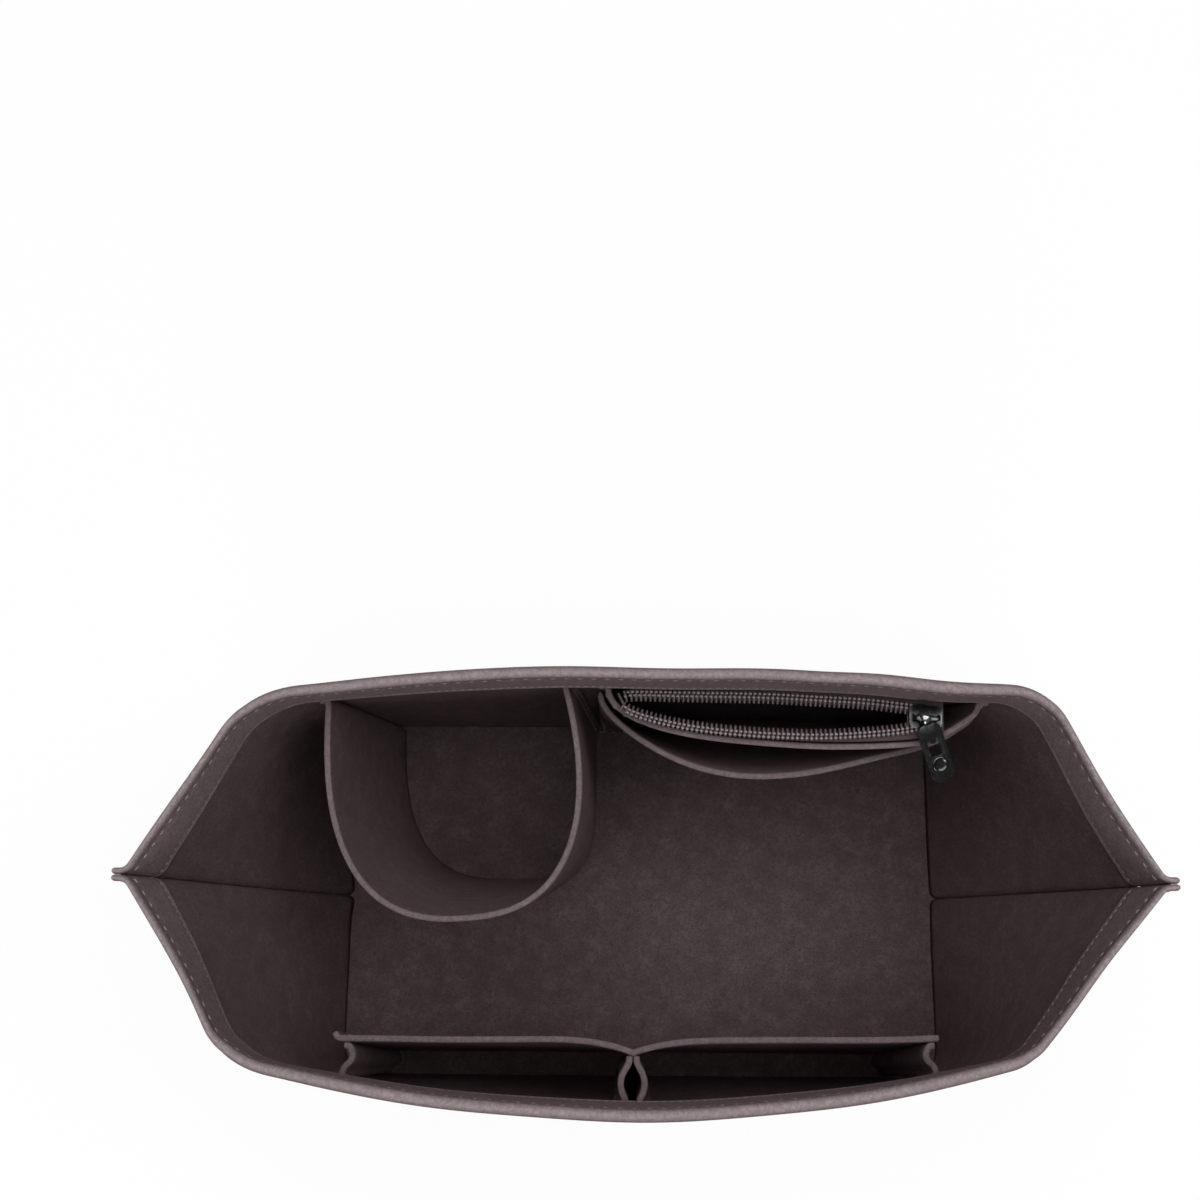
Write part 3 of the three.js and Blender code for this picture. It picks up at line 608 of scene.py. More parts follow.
def shell_plan(wall, z):
    seam = seam_at(z)
    line = SEAM_TOUCH + FELT * PRESSED * in_hem(z)
    left, right = wall_corners(wall, z)
    bend = FELT + SEAM_BEND + RIM_BEND * z / HEIGHT
    left_round, right_round = [mix(CORNER_RADIUS, r, z / HEIGHT) for r in wall["round"]]
    corners = [
        (-seam - FIN_DEPTH, line, 0, 0),
        (-seam, line, bend, SEAM_BEND_STEPS),
        (left[0], left[1], left_round, CORNER_STEPS),
        (right[0], right[1], right_round, CORNER_STEPS),
        (seam, line, bend, SEAM_BEND_STEPS),
        (seam + FIN_DEPTH, line, 0, 0),
    ]
    path = rounded_path(corners, WALL_LEGS)
    path[:, 1] += [wall_bow(wall, x, z) for x in path[:, 0]]
    return path


print("points round a wall:", len(shell_plan(BACK, 100)))

# %% [markdown]
# Swept along that path goes one upright cut through the felt: a flange at the foot, the
# wall, and the hem, where the felt folds over to the inside and ends in a step. Thread
# pulls felt in, so the cut dips a little along both rows of stitches.

# %% Cut through a wall
ROW_TOP = HEIGHT - 3.9
ROW_LOW = HEM_FOOT + 1.7
DIP, DIP_WIDTH, CUT_SOFT = 0.42, 1.1, 0.5


def dip(z):
    """How far the two rows of stitches draw the felt in at a height."""
    return sum(DIP * math.exp(-((z - row) / DIP_WIDTH) ** 2) for row in (ROW_TOP, ROW_LOW))


def stand_off(z):
    """The hem's loose side leans away from the wall, most at its foot."""
    return min(max((HEIGHT - FELT - z) / (HEM_DEPTH - FELT), 0), 1)


def shell_section(flange, flare):
    """Offsets from the inner face, heights, and each point's share of edge fibre and painted
    highlight.
    """
    reach = FELT + flange
    base, step = WALL_FOOT, WALL_FOOT + FELT
    cut = [(0.0, base, 0), (reach - CUT_SOFT, base, 0.5), (reach, base + CUT_SOFT, 1)]
    cut += [(reach, step - CUT_SOFT, 1), (reach - CUT_SOFT, step, 0.6)]
    cut += [(FELT + min(0.8, flange / 2), step, 0), (FELT, step + 0.8, 0)]
    cut += [(FELT, z, 0) for z in np.linspace(9, HEM_FOOT - HEM_EASE, 22)]
    cut += [(FELT - dip(z), z, 0) for z in np.linspace(HEM_FOOT, HEIGHT - FELT - 0.2, 30)]
    # The top of the fold is painted lighter: a painted highlight where light falls on it.
    for k in range(1, 14):
        a = math.pi * k / 14
        lit = math.sin(a) ** 2
        cut.append((FELT * math.cos(a), HEIGHT - FELT + FELT * math.sin(a), 0.9 * lit))
    # The hem's inner face is painted a little lighter, and its cut foot more: painted light.
    for z in np.linspace(HEIGHT - FELT - 0.2, HEM_FOOT + 0.5, 32):
        lit = 0.2 + 0.3 * math.exp(-((z - HEM_FOOT) / 0.9) ** 2)
        cut.append((-FELT - flare * stand_off(z) + dip(z), z, lit))
    foot = -FELT - flare
    cut += [(foot + 0.15, HEM_FOOT + 0.2, 1), (foot + 0.6, HEM_FOOT, 1), (-0.1, HEM_FOOT, 0.1)]
    cut += [(0, z, 0) for z in np.linspace(HEM_FOOT - HEM_EASE, 6, 24)]
    return cut


def make_shell(name, wall, node):
    plans = {}

    def plan_at(z):
        key = round(float(z), 4)
        if key not in plans:
            path = shell_plan(wall, float(z))
            plans[key] = (path, sideways(path) * pressed(len(path), z)[:, None])
        return plans[key]

    foot = plan_at(WALL_FOOT)[0]
    seam = foot[-1][0] - FIN_DEPTH
    rings, edge_and_highlight = [], []
    for i, (x, y) in enumerate(foot):
        clear = min(max((y - FIN_DEPTH - FELT) / FIN_DEPTH, 0), 1)
        beside = clear if abs(x) > seam - CORNER_RADIUS else 1
        ring = []
        end = i in (0, len(foot) - 1)
        flare = HEM_FLARE * middle_share(wall, x, HEM_FOOT)
        for offset, z, lit in shell_section(GAP + (FLANGE - GAP) * beside, flare):
            path, side = plan_at(z)
            spot = path[i] + side[i] * offset
            ring.append((spot[0], wall["sign"] * spot[1], z))
            edge_and_highlight.append(1.0 if end else lit)
        rings.append(ring)
    points, faces = skin(rings)
    shell = new_object(name, ripple(points), faces, wall_felt, edge_and_highlight)
    return settle(face_out(shell), "felt_box", "wall_felt", node)


def cut_size(plan, low, high, extra=0.0):
    """Width and length of the felt before it was bent, in metres."""
    lengths = []
    for z in np.linspace(low, high, 5):
        steps = np.diff(plan(float(z)), axis=0)
        lengths.append(np.linalg.norm(steps, axis=1).sum())
    size = (float(np.mean(lengths)) * MM, (high - low + extra) * MM)
    print("cut to", [round(v, 4) for v in size])
    return size


HEM_AND_FLANGE = HEM_DEPTH + 2 * FELT + FLANGE
for name, wall, node in (
    ("felt_back_wall", BACK, "back_shell"), ("felt_front_wall", FRONT, "front_shell"),
):
    shell = make_shell(name, wall, node)
    size = cut_size(lambda z: shell_plan(wall, z), WALL_FOOT, HEIGHT, HEM_AND_FLANGE)

# %% [markdown]
# The floor is one flat felt, cut with a margin that carries the walls' sewn flange. Its
# outline is extruded by hand here: a ring for each level, pulled in a little at the top
# and bottom, so that the cut edge is soft.

# %% Floor panel
FLOOR_REACH = FELT + FLANGE


def floor_outline(inset):
    reach = FLOOR_REACH - inset
    x, y = BASE_HALF_X + reach, BASE_HALF_Y + reach
    radius = CORNER_RADIUS + reach
    corners = [(x + SEAM_KINK, 0, 0, 0), (x, y, radius, 10), (-x, y, radius, 10)]
    half = rounded_path([*corners, (-x - SEAM_KINK, 0, 0, 0)], [8, 30, 8])
    return np.vstack([half, -half[1:-1]])


def make_floor_panel():
    levels = [(CUT_SOFT, 0.0), (0.0, CUT_SOFT), (0.0, FELT - CUT_SOFT), (CUT_SOFT, FELT)]
    rims = [[(x, y, z) for x, y in floor_outline(inset)] for inset, z in levels]
    shares = (0.985, 0.8, 0.6, 0.4, 0.2)
    under, over = [
        [[(x * share, y * share, z) for x, y, z in rim] for share in shares]
        for rim in (rims[0], rims[-1])
    ]
    flat = [0.0] * (len(shares) * len(rims[0]))
    edge_and_highlight = flat + [1.0] * (len(rims) * len(rims[0])) + flat
    points, faces = skin(under[::-1] + rims + over)
    panel = new_object("felt_floor", ripple(points), faces, floor_felt_painted_light, edge_and_highlight)
    return settle(face_out(panel), "felt_box", "wall_felt", "base_panel")


make_floor_panel()

# %% [markdown]
# All pockets are upright strips of felt that differ only in plan. So one helper builds a
# strip from a function that gives its middle line at a height. The strip's cut through
# the thickness has soft corners on top, and its ends are drawn in slightly.

# %% Strips of felt
STRIP_ROWS, END_SOFT, END_THIN = 26, 0.3, 0.55


def on_wall(wall, x, z):
    return wall_face(wall, x, z) - wall["sign"] * (WALL_GAP + FELT / 2)


def strip_section(foot, top):
    half = FELT / 2
    heights = np.linspace(foot + 0.4, top - 0.55, STRIP_ROWS)
    cut = [(half, z, 0.0) for z in heights]
    cut += [(half - 0.12, top - 0.22, 0.8), (half - 0.5, top, 1.0), (0.0, top, 1.0)]
    cut += [(-half + 0.5, top, 1.0), (-half + 0.12, top - 0.22, 0.8)]
    cut += [(-half, z, 0.0) for z in heights[::-1]]
    cut += [(-half + 0.4, foot, 0.6), (half - 0.4, foot, 0.6)]
    return cut


def make_strip(name, plan, foot, top, node, light=0.27):
    """light is how much painted highlight and edge fibre the cut edges get."""
    section = strip_section(foot, top)
    plans = {}
    for z in {float(z) for _, z, _ in section}:
        path = plan(z)
        plans[z] = (path, sideways(path))
    last = len(plan(foot)) - 1
    rings, edge_and_highlight = [], []
    for i in range(-1, last + 2):
        j = min(max(i, 0), last)
        ring = []
        for offset, z, lit in section:
            path, side = plans[float(z)]
            if i == j:
                spot = path[j] + side[j] * offset
            else:
                along = path[1] - path[0] if i < 0 else path[-1] - path[-2]
                along = along / np.linalg.norm(along) * (-END_SOFT if i < 0 else END_SOFT)
                spot = path[j] + side[j] * offset * END_THIN + along
            ring.append((spot[0], spot[1], z))
            edge_and_highlight.append(light * (lit if i == j else 1.0))
        rings.append(ring)
    points, faces = skin(rings)
    strip = new_object(name, ripple(points), faces, pocket_felt, edge_and_highlight)
    settle(face_out(strip), "felt_box", "pocket_felt", node)
    cut_size(plan, foot, top)
    return strip


# %% [markdown]
# The bottle holder is a tall loop on the back wall, squarer at its foot. A superellipse
# gives such a shape with one number, and that number can change with height and side.

# %% Bottle holder
HOLDER_TOP, HOLDER_TUCK, BACK_TAB = 125.0, 12.4, 3
HOLDER = {
    "middle": (-64.8, -66.5), "front": (6.5, -12.0), "left": (44.0, 53.8),
    "right": (44.0, 48.3), "left_power": (2.6, 2.6), "right_power": (6.0, 2.8),
}


def eased(path, share=0.25, times=3):
    """Cuts the corners of a path, which turns a hard fold into a soft one."""
    path = [np.array(p, float) for p in path]
    for _ in range(times):
        out = [path[0]]
        for a, b in zip(path, path[1:]):
            out += [mix(a, b, share), mix(a, b, 1 - share)]
        path = out + [path[-1]]
    return np.array(path)


def with_tabs(path, z):
    """Adds a short sewn tab on the back wall at both ends of a path."""
    ends = path[0][0] - BACK_TAB, path[-1][0] + BACK_TAB
    left, right = [(x, on_wall(BACK, x, z)) for x in ends]
    return [left, *path, right]


def holder_plan(z, steps=24):
    share = (z - WALL_FOOT) / (HOLDER_TOP - WALL_FOOT)
    now = {key: mix(foot, top, share) for key, (foot, top) in HOLDER.items()}
    depth = on_wall(BACK, now["middle"], z) - now["front"]
    path = []
    for k in range(steps + 1):
        turn = math.pi * k / steps
        hand = "right" if turn > math.pi / 2 else "left"
        power = now[hand + "_power"]
        across, along = abs(math.cos(turn)) / now[hand], math.sin(turn) / depth
        radius = (across ** power + along ** power) ** (-1 / power)
        tuck = HOLDER_TUCK * share * (1 - radius * along) ** 2 if hand == "right" else 0
        x = now["middle"] - radius * math.cos(turn) - tuck
        path.append((x, on_wall(BACK, x, z) - radius * math.sin(turn)))
    return eased(with_tabs(path, z))


make_strip(
    "felt_bottle_holder", holder_plan, WALL_FOOT, HOLDER_TOP, "bottle_holder",
    light=0.34,
)

# %% [markdown]
# Zip pocket and slip pocket: two panels on the back wall. Flat at the foot, they belly
# out to an arc at the lip, and the outer one gapes further along its left part.

# %% Back pockets
ZIP_LIP, PANEL_FOOT, PANEL_HEM, SLIP_LIP = 123.0, 22.0, 6.0, 111.0
ZIP_LEFT, ZIP_RIGHT_FOOT, ZIP_RIGHT_LIP = -15.4, 112.0, 129.0
ZIP_BELLY, SLIP_BELLY, SLIP_GAP = 22.5, 12.0, 0.9
PANEL_STEPS = 16


def above_hem(z, lip):
    """Zero up to the panel's sewn foot, and one at its lip."""
    return min(max((z - PANEL_FOOT - PANEL_HEM) / (lip - PANEL_FOOT - PANEL_HEM), 0), 1)


def zip_panel_turns(z):
    right = mix(ZIP_RIGHT_FOOT, ZIP_RIGHT_LIP, (z - PANEL_FOOT) / (ZIP_LIP - PANEL_FOOT))
    half, middle = (right - ZIP_LEFT - FELT) / 2, (right + ZIP_LEFT) / 2
    belly = ZIP_BELLY * above_hem(z, ZIP_LIP)
    path = []
    for k in range(PANEL_STEPS + 1):
        turn = math.pi * k / PANEL_STEPS
        x = middle - half * math.cos(turn)
        slack = 1 - 0.3 * float(ease(x, SLIDER_X + 2, SLIDER_X + 18))
        path.append((x, on_wall(BACK, x, z) - belly * slack * math.sin(turn) ** 0.8))
    return np.array(with_tabs(path, z))


def zip_panel_plan(z):
    return eased(zip_panel_turns(z))


def slip_panel_plan(z):
    under = zip_panel_turns(z)
    side = sideways(under)
    belly = SLIP_BELLY * above_hem(z, SLIP_LIP) ** 0.5
    out = []
    for i, place in enumerate(under):
        along = (i - 1) / (PANEL_STEPS * 0.85)
        gape = math.sin(math.pi * along) ** 3 if 0 < along < 1 else 0
        out.append(place - side[i] * (FELT + SLIP_GAP + belly * gape))
    return eased(out)


zip_panel = make_strip(
    "felt_zip_panel", zip_panel_plan, PANEL_FOOT, ZIP_LIP, "zip_pocket_panel",
    light=0.4,
)
make_strip(
    "felt_slip_panel", slip_panel_plan, PANEL_FOOT, SLIP_LIP, "slip_pocket_panel",
    light=0.32,
)

# %% [markdown]
# Front pockets: one long strip with a notch in its middle, two folded gussets at its
# ends, and a pair of strips behind the notch that form the pen loop.

# %% Front pockets
POCKET_TOP, POCKET_LEFT, POCKET_RIGHT, POCKET_MIDDLE = 121.0, -110.5, 107.0, -3.7
POCKET_FOOT_LINE, POCKET_TOP_LINE, NOTCH = 66.0, 55.5, 4.4
EAR = ((-2.3, 1.9), (-1.5, 0.5))
GUSSET_KNEE, GUSSET_START, GUSSET_TAB = 3.6, 1.6, 5
PEN_BELLY, PEN_FOOT, PEN_TAB = 6.4, 2.6, 4


def pocket_line(x, z):
    share = (z - WALL_FOOT) / (POCKET_TOP - WALL_FOOT)
    across = (x - POCKET_LEFT) / (POCKET_RIGHT - POCKET_LEFT)
    end = abs(x - POCKET_MIDDLE) / (POCKET_RIGHT - POCKET_MIDDLE)
    notch = NOTCH * share * max(0, 1 - 3 * end) ** 3
    line = mix(POCKET_FOOT_LINE, POCKET_TOP_LINE, share)
    return line - share * (1.6 * across + 1.2 * abs(across) ** 6) + notch


def pocket_plan(z):
    left = np.linspace(POCKET_LEFT, POCKET_MIDDLE, 40)[:-1]
    right = np.linspace(POCKET_MIDDLE, POCKET_RIGHT, 40)
    line = [(x, -pocket_line(x, z)) for x in (*left, *right)]
    ear = [(line[0][0] + x, line[0][1] + y) for x, y in EAR]
    return np.array(ear + line)


def gusset_plan(end, inward):
    def plan(z):
        start = -pocket_line(end, z) - FELT - GAP
        knee, foot = end + inward * GUSSET_KNEE, end + inward * FELT / 2
        wall_line = on_wall(FRONT, foot, z)
        depth = start - wall_line
        tab = foot - inward * GUSSET_TAB
        return eased([
            (end + inward * GUSSET_START, start), (knee, start),
            (knee + inward * 1.4, start - depth * 0.4), (foot, start - depth * 0.7),
            (foot, wall_line), (tab, on_wall(FRONT, tab, z)),
        ])
    return plan


def pen_plan(side):
    def plan(z):
        start = -pocket_line(POCKET_MIDDLE, z) - FELT / 2 - GAP
        near, far, foot = [
            POCKET_MIDDLE + side * (FELT + out) / 2 for out in (GAP, PEN_BELLY, PEN_FOOT)
        ]
        end = foot + side * PEN_TAB
        wall_line = on_wall(FRONT, foot, z)
        depth = start - wall_line
        return eased([
            (near, start), (near, start - depth * 0.12), (far, start - depth * 0.4),
            (far, start - depth * 0.65), (foot, wall_line + FELT), (foot, wall_line),
            (end, on_wall(FRONT, end, z)),
        ])
    return plan


LEFT_GUSSET, RIGHT_GUSSET = gusset_plan(POCKET_LEFT, 1), gusset_plan(POCKET_RIGHT, -1)
for name, plan, node, held in (
    ("felt_front_pocket", pocket_plan, "front_pocket_strip", "stretched"),
    ("felt_left_gusset", LEFT_GUSSET, "left_end_gusset", "folded"),
    ("felt_right_gusset", RIGHT_GUSSET, "right_end_gusset", "folded"),
    ("felt_pen_left", pen_plan(-1), "pen_loop_left", "folded"),
    ("felt_pen_right", pen_plan(1), "pen_loop_right", "folded"),
):
    make_strip(name, plan, WALL_FOOT, POCKET_TOP, node)

# %% [markdown]
# Every stitch on this object is the same small loop of thread, repeated along a line, so
# Geometry Nodes make them. The tree takes lines, walks along them at the stitch pitch,
# lays a short bowed bead at each step, and turns it to the line and to the surface. The
# surface's direction comes with the line, as an attribute called out.

# %% A tree for rows of beads
def new_tree(name, inputs, output):
    """A tree whose inputs are given as label, kind and value, and its two ends."""
    tree = bpy.data.node_groups.new(name, "GeometryNodeTree")
    for label, kind, value in inputs:
        socket = tree.interface.new_socket(label, in_out="INPUT", socket_type="NodeSocket" + kind)
        if value is not None:
            socket.default_value = value
    tree.interface.new_socket(output, in_out="OUTPUT", socket_type="NodeSocketGeometry")
    return tree, add_node(tree, "NodeGroupInput").outputs, add_node(tree, "NodeGroupOutput")


def along_lines(tree, given):
    """Shared first half: lines to curves, spaced points, and a turn for each point."""
    curve = add_node(tree, "GeometryNodeMeshToCurve", {0: given["Lines"]})
    spacing = {"Curve": curve, "Length": given["Pitch"]}
    spaced = add_node(tree, "GeometryNodeResampleCurve", spacing, mode="LENGTH")
    named = {"Name": "out"}
    out = add_node(tree, "GeometryNodeInputNamedAttribute", named, data_type="FLOAT_VECTOR")
    tangent = add_node(tree, "GeometryNodeInputTangent")
    first = add_node(tree, "FunctionNodeAlignRotationToVector", {"Vector": tangent}, axis="X")
    second = add_node(tree, "FunctionNodeAlignRotationToVector", {
        "Rotation": first, "Vector": out,
    }, axis="Z", pivot_axis="X")
    return spaced, second


def repeat_on(tree, points, shape, turn, material, end):
    """Shared second half: a smooth copy at each point, all made one real mesh."""
    smooth = add_node(tree, "GeometryNodeSetShadeSmooth", {"Geometry": shape})
    copies = add_node(tree, "GeometryNodeInstanceOnPoints", {
        "Points": points, "Instance": smooth, "Rotation": turn,
    })
    real = add_node(tree, "GeometryNodeRealizeInstances", {0: copies})
    finish = add_node(tree, "GeometryNodeSetMaterial", {"Geometry": real, "Material": material})
    fill(end, {0: finish})
    return tree


def stitch_tree():
    tree, given, end = new_tree("stitch_rows", (
        ("Lines", "Geometry", None), ("Pitch", "Float", 0.005),
        ("Stitch length", "Float", 0.0026), ("Thread radius", "Float", 0.0003),
        ("Bow", "Float", 0.2), ("Skew", "Float", 0.05), ("Seed", "Int", 3),
        ("Thread", "Material", None),
    ), "Stitches")
    points, turn = along_lines(tree, given)
    ball = add_node(tree, "GeometryNodeMeshUVSphere", {"Segments": 7, "Rings": 6, "Radius": 1.0})
    lying = add_node(tree, "GeometryNodeTransform", {
        "Geometry": ball.outputs["Mesh"], "Rotation": (0, math.pi / 2, 0),
    })
    place = add_node(tree, "GeometryNodeInputPosition")
    x = add_node(tree, "ShaderNodeSeparateXYZ", {0: place}).outputs["X"]
    sag = times(tree, times(tree, times(tree, x, x), given["Bow"]), -5.0)
    shift = add_node(tree, "ShaderNodeCombineXYZ", {"Z": sag})
    bowed = add_node(tree, "GeometryNodeSetPosition", {"Geometry": lying, "Offset": shift})
    size = add_node(tree, "ShaderNodeCombineXYZ", {
        "X": times(tree, given["Stitch length"], 0.5),
        "Y": given["Thread radius"], "Z": given["Thread radius"],
    })
    bead = add_node(tree, "GeometryNodeTransform", {"Geometry": bowed, "Scale": size})
    least = times(tree, given["Skew"], -1.0)
    chance = add_node(tree, "FunctionNodeRandomValue", data_type="FLOAT")
    fill(chance, {2: least, 3: given["Skew"], "Seed": given["Seed"]})
    spin = add_node(tree, "FunctionNodeAxisAngleToRotation", {"Angle": chance.outputs[1]})
    turns = {0: turn, 1: spin}
    askew = add_node(tree, "FunctionNodeRotateRotation", turns, rotation_space="LOCAL")
    return repeat_on(tree, points, bead, askew, given["Thread"], end)


STITCHES = stitch_tree()
print("stitch tree:", len(STITCHES.nodes), "nodes")

# %% [markdown]
# A row of stitches is given to the tree as a plain mesh of edges. The modifier's inputs
# are set by their identifiers, the result is taken from the evaluated object as a plain
# mesh, and the modifier goes. What is left is an ordinary piece.

# %% Lines into plain meshes
def line_object(name, rows):
    """rows is a list of (points, outs) in millimetres; each becomes one line."""
    points, outs, edges = [], [], []
    for line, out in rows:
        first = len(points)
        points += [tuple(p) for p in line]
        outs += [tuple(o) for o in out]
        edges += [(first + k, first + k + 1) for k in range(len(line) - 1)]
    mesh = bpy.data.meshes.new(name)
    mesh.from_pydata((np.array(points) * MM).tolist(), edges, [])
    data = mesh.attributes.new("out", "FLOAT_VECTOR", "POINT").data
    data.foreach_set("vector", np.array(outs, float).ravel())
    return add_object(name, mesh)


def grow_on(lines, tree, values):
    modifier = lines.modifiers.new("rows", "NODES")
    modifier.node_group = tree
    for item in tree.interface.items_tree:
        if item.in_out == "INPUT" and item.name in values:
            modifier[item.identifier] = values[item.name]
    ready = lines.evaluated_get(bpy.context.evaluated_depsgraph_get())
    mesh = bpy.data.meshes.new_from_object(ready)
    mesh.name = lines.name
    lines.modifiers.clear()
    lines.data = mesh
    for name in [a.name for a in mesh.attributes if a.name == "out"]:
        mesh.attributes.remove(mesh.attributes[name])
    return lines


def sew(name, rows, pitch=5.0, length=2.7, radius=0.36, bow=0.2):
    lines = line_object(name, rows)
    grow_on(lines, STITCHES, {
        "Pitch": pitch * MM, "Stitch length": length * MM, "Thread radius": radius * MM,
        "Bow": bow, "Thread": sewing_thread,
    })
    return settle(lines, "felt_box", "wall_felt")


# %% [markdown]
# Now the rows themselves. On a wall they run along its path at a fixed height, on both
# faces. The surface direction is the path's sideways direction, turned out or in.

# %% Rows on the walls
SUNK, FIN_INSET = 0.05, 2.7


def wall_row(wall, z, outward, trim):
    path = shell_plan(wall, z)
    side = sideways(path) * pressed(len(path), z)[:, None]
    offset = np.full((len(path), 1), FELT - DIP + SUNK)
    if outward < 0:
        flare = np.array([[middle_share(wall, x, HEM_FOOT)] for x in path[:, 0]])
        offset = -offset - HEM_FLARE * flare * stand_off(z)
    keep = slice(trim, -trim)
    line = [(x, wall["sign"] * y, z) for x, y in (path + side * offset)[keep]]
    outs = [(outward * x, outward * wall["sign"] * y, 0) for x, y in side[keep]]
    return ripple(line), outs


def end_row(wall, end):
    """Up the fin, on its outer face, which the hem makes thicker at the top."""
    plain = [(z, GAP / 2 + FELT) for z in np.linspace(8, HEM_FOOT - 6, 40)]
    hemmed = 2 * FELT * PRESSED + SEAM_TOUCH
    plain += [(z, hemmed) for z in np.linspace(HEM_FOOT + 1, HEIGHT - 4, 8)]
    line = [(end * (seam_at(z) + FIN_INSET), wall["sign"] * depth, z) for z, depth in plain]
    return ripple(line), [(0, wall["sign"], 0)] * len(line)


def wall_rows(z, ends=()):
    rows = []
    for wall in (BACK, FRONT):
        rows += [wall_row(wall, z, 1, trim=3), wall_row(wall, z, -1, trim=9)]
        rows += [end_row(wall, end) for end in ends]
    return rows


sew("thread_on_walls", wall_rows(ROW_TOP, ends=(-1, 1)))
sew("thread_at_hem_foot", wall_rows(ROW_LOW), pitch=2.9, length=2.0, radius=0.28)


# %% Rows round the floor
def rows_round_floor():
    outline = floor_outline(2.1)
    closed = np.vstack([outline, outline[:1]])
    keep = closed[np.abs(closed[:, 1]) > 9]
    rows = []
    for sign in (1, -1):
        for z, up in ((WALL_FOOT + FELT, 1), (0.02, -1)):
            line = [(x, y, z) for x, y in keep if y * sign > 0]
            rows.append((ripple(line), [(0, 0, up)] * len(line)))
    return rows


sew("thread_round_floor", rows_round_floor())


# %% [markdown]
# The pockets are sewn through the wall, so a row on a pocket has a twin on the outside
# of the wall. Upright rows run along a fixed place of the strip's plan.

# %% Rows on the pockets
ROW_INSETS = ((0, 1.4), (-1, -1.4))


def upright_row(plan, index, heights):
    """Up a strip at one place of its plan."""
    line, outs = [], []
    for z in heights:
        path = plan(float(z))
        side = sideways(path)[index]
        line.append((*(path[index] + side * FELT / 2), z))
        outs.append((*side, 0))
    return ripple(line), outs


def level_row(plan, z, trim):
    """Along a panel at one height, on its front."""
    path = plan(z)
    side = sideways(path)
    keep = slice(trim, -trim)
    line = [(x, y, z) for x, y in (path - side * FELT / 2)[keep]]
    return ripple(line), [(-x, -y, 0) for x, y in side[keep]]


def front_row(spots):
    """Through spots on a felt's middle that faces straight to the front."""
    return ripple([(x, y - FELT / 2, z) for x, y, z in spots]), [(0, -1, 0)] * len(spots)


def twin_row(wall, places):
    """Along given (x, z) places on the outer face of a wall."""
    line = [(x, wall_face(wall, x, z) + wall["sign"] * FELT, z) for x, z in places]
    return ripple(line), [(0, wall["sign"], 0)] * len(line)


def end_places(plan, index, inset, heights):
    """Places a little inside one end of a strip, at many heights."""
    return [(plan(float(z))[index][0] + inset, z) for z in heights]


def rows_on_pockets():
    rows = []
    tall = np.linspace(WALL_FOOT + 8, HOLDER_TOP - 3, 40)
    short = np.linspace(PANEL_FOOT + 5, SLIP_LIP - 3, 30)
    for index, inset in ROW_INSETS:
        places = end_places(holder_plan, index, inset, tall)
        rows.append(front_row([(x, on_wall(BACK, x, z), z) for x, z in places]))
        rows.append(twin_row(BACK, places))
    low = PANEL_FOOT + 3.0
    rows.append(level_row(slip_panel_plan, low, 2))
    rows.append(twin_row(BACK, [(x, low) for x in slip_panel_plan(low)[2:-2, 0]]))
    for index, inset in ROW_INSETS:
        rows.append(twin_row(BACK, end_places(zip_panel_plan, index, inset, short)))
        ends = [(*slip_panel_plan(float(z))[index], z) for z in short]
        rows.append(front_row([(x + inset, y, z) for x, y, z in ends]))
    upright = np.linspace(WALL_FOOT + 6, POCKET_TOP - 2.5, 40)
    rows += [upright_row(pocket_plan, index, upright) for index in (3, -2)]
    behind = np.linspace(12, POCKET_TOP - 3, 36)
    for plan, inset in (
        (LEFT_GUSSET, 1.8), (RIGHT_GUSSET, -1.8), (pen_plan(-1), 1.6), (pen_plan(1), -1.6),
    ):
        rows.append(twin_row(FRONT, end_places(plan, -1, inset, behind)))
    return rows


sew("thread_on_pockets", rows_on_pockets(), length=2.4)

# %% [markdown]
# The zip. Its tape lies flat under the teeth and is then turned down and sewn to the
# felt. The teeth are one long nylon coil for each side. When the zip is open, the two
# coils part in a lens shape, which a power of a sine gives.

# %% Line of the zip
CHAIN = ((-8.0, 68.5), (113.5, 62.6))
PITCH, OVERLAP, COIL_FLOOR = 1.78, 0.35, 125.9
CLOSING = SLIDER_X + 0.6
OPENINGS = {1: (2.6, 0.3), -1: (7.8, 0.6)}


def chain_line(x):
    (x0, y0), (x1, y1) = CHAIN
    return mix(y0, y1, (x - x0) / (x1 - x0))


def tip_offset(opening, power, x):
    along = (CLOSING - x) / (SLIDER_X - CHAIN[0][0])
    gape = math.sin(math.pi * min(along, 1)) ** power if along > 0 else 0
    return opening * gape - OVERLAP


def tips(side, x):
    return chain_line(x) + side * tip_offset(*OPENINGS[side], x)


def zip_panel_face(x, z):
    path = zip_panel_plan(min(z, ZIP_LIP))
    inner = (path + sideways(path) * FELT / 2)[1:-1]
    return float(np.interp(x, inner[:, 0], inner[:, 1]))


print("zip open by mm at x=50:", round(tips(1, 50) - tips(-1, 50), 1))


# %% Tapes
TAPE_START, TAPE_STEPS, TAPE_THICK = -5.0, 160, 0.5
TAPE_FALL, TAPE_SHORT_FALL, TAPE_REACH = 10.0, 1.5, 4.8 + WALL_GAP


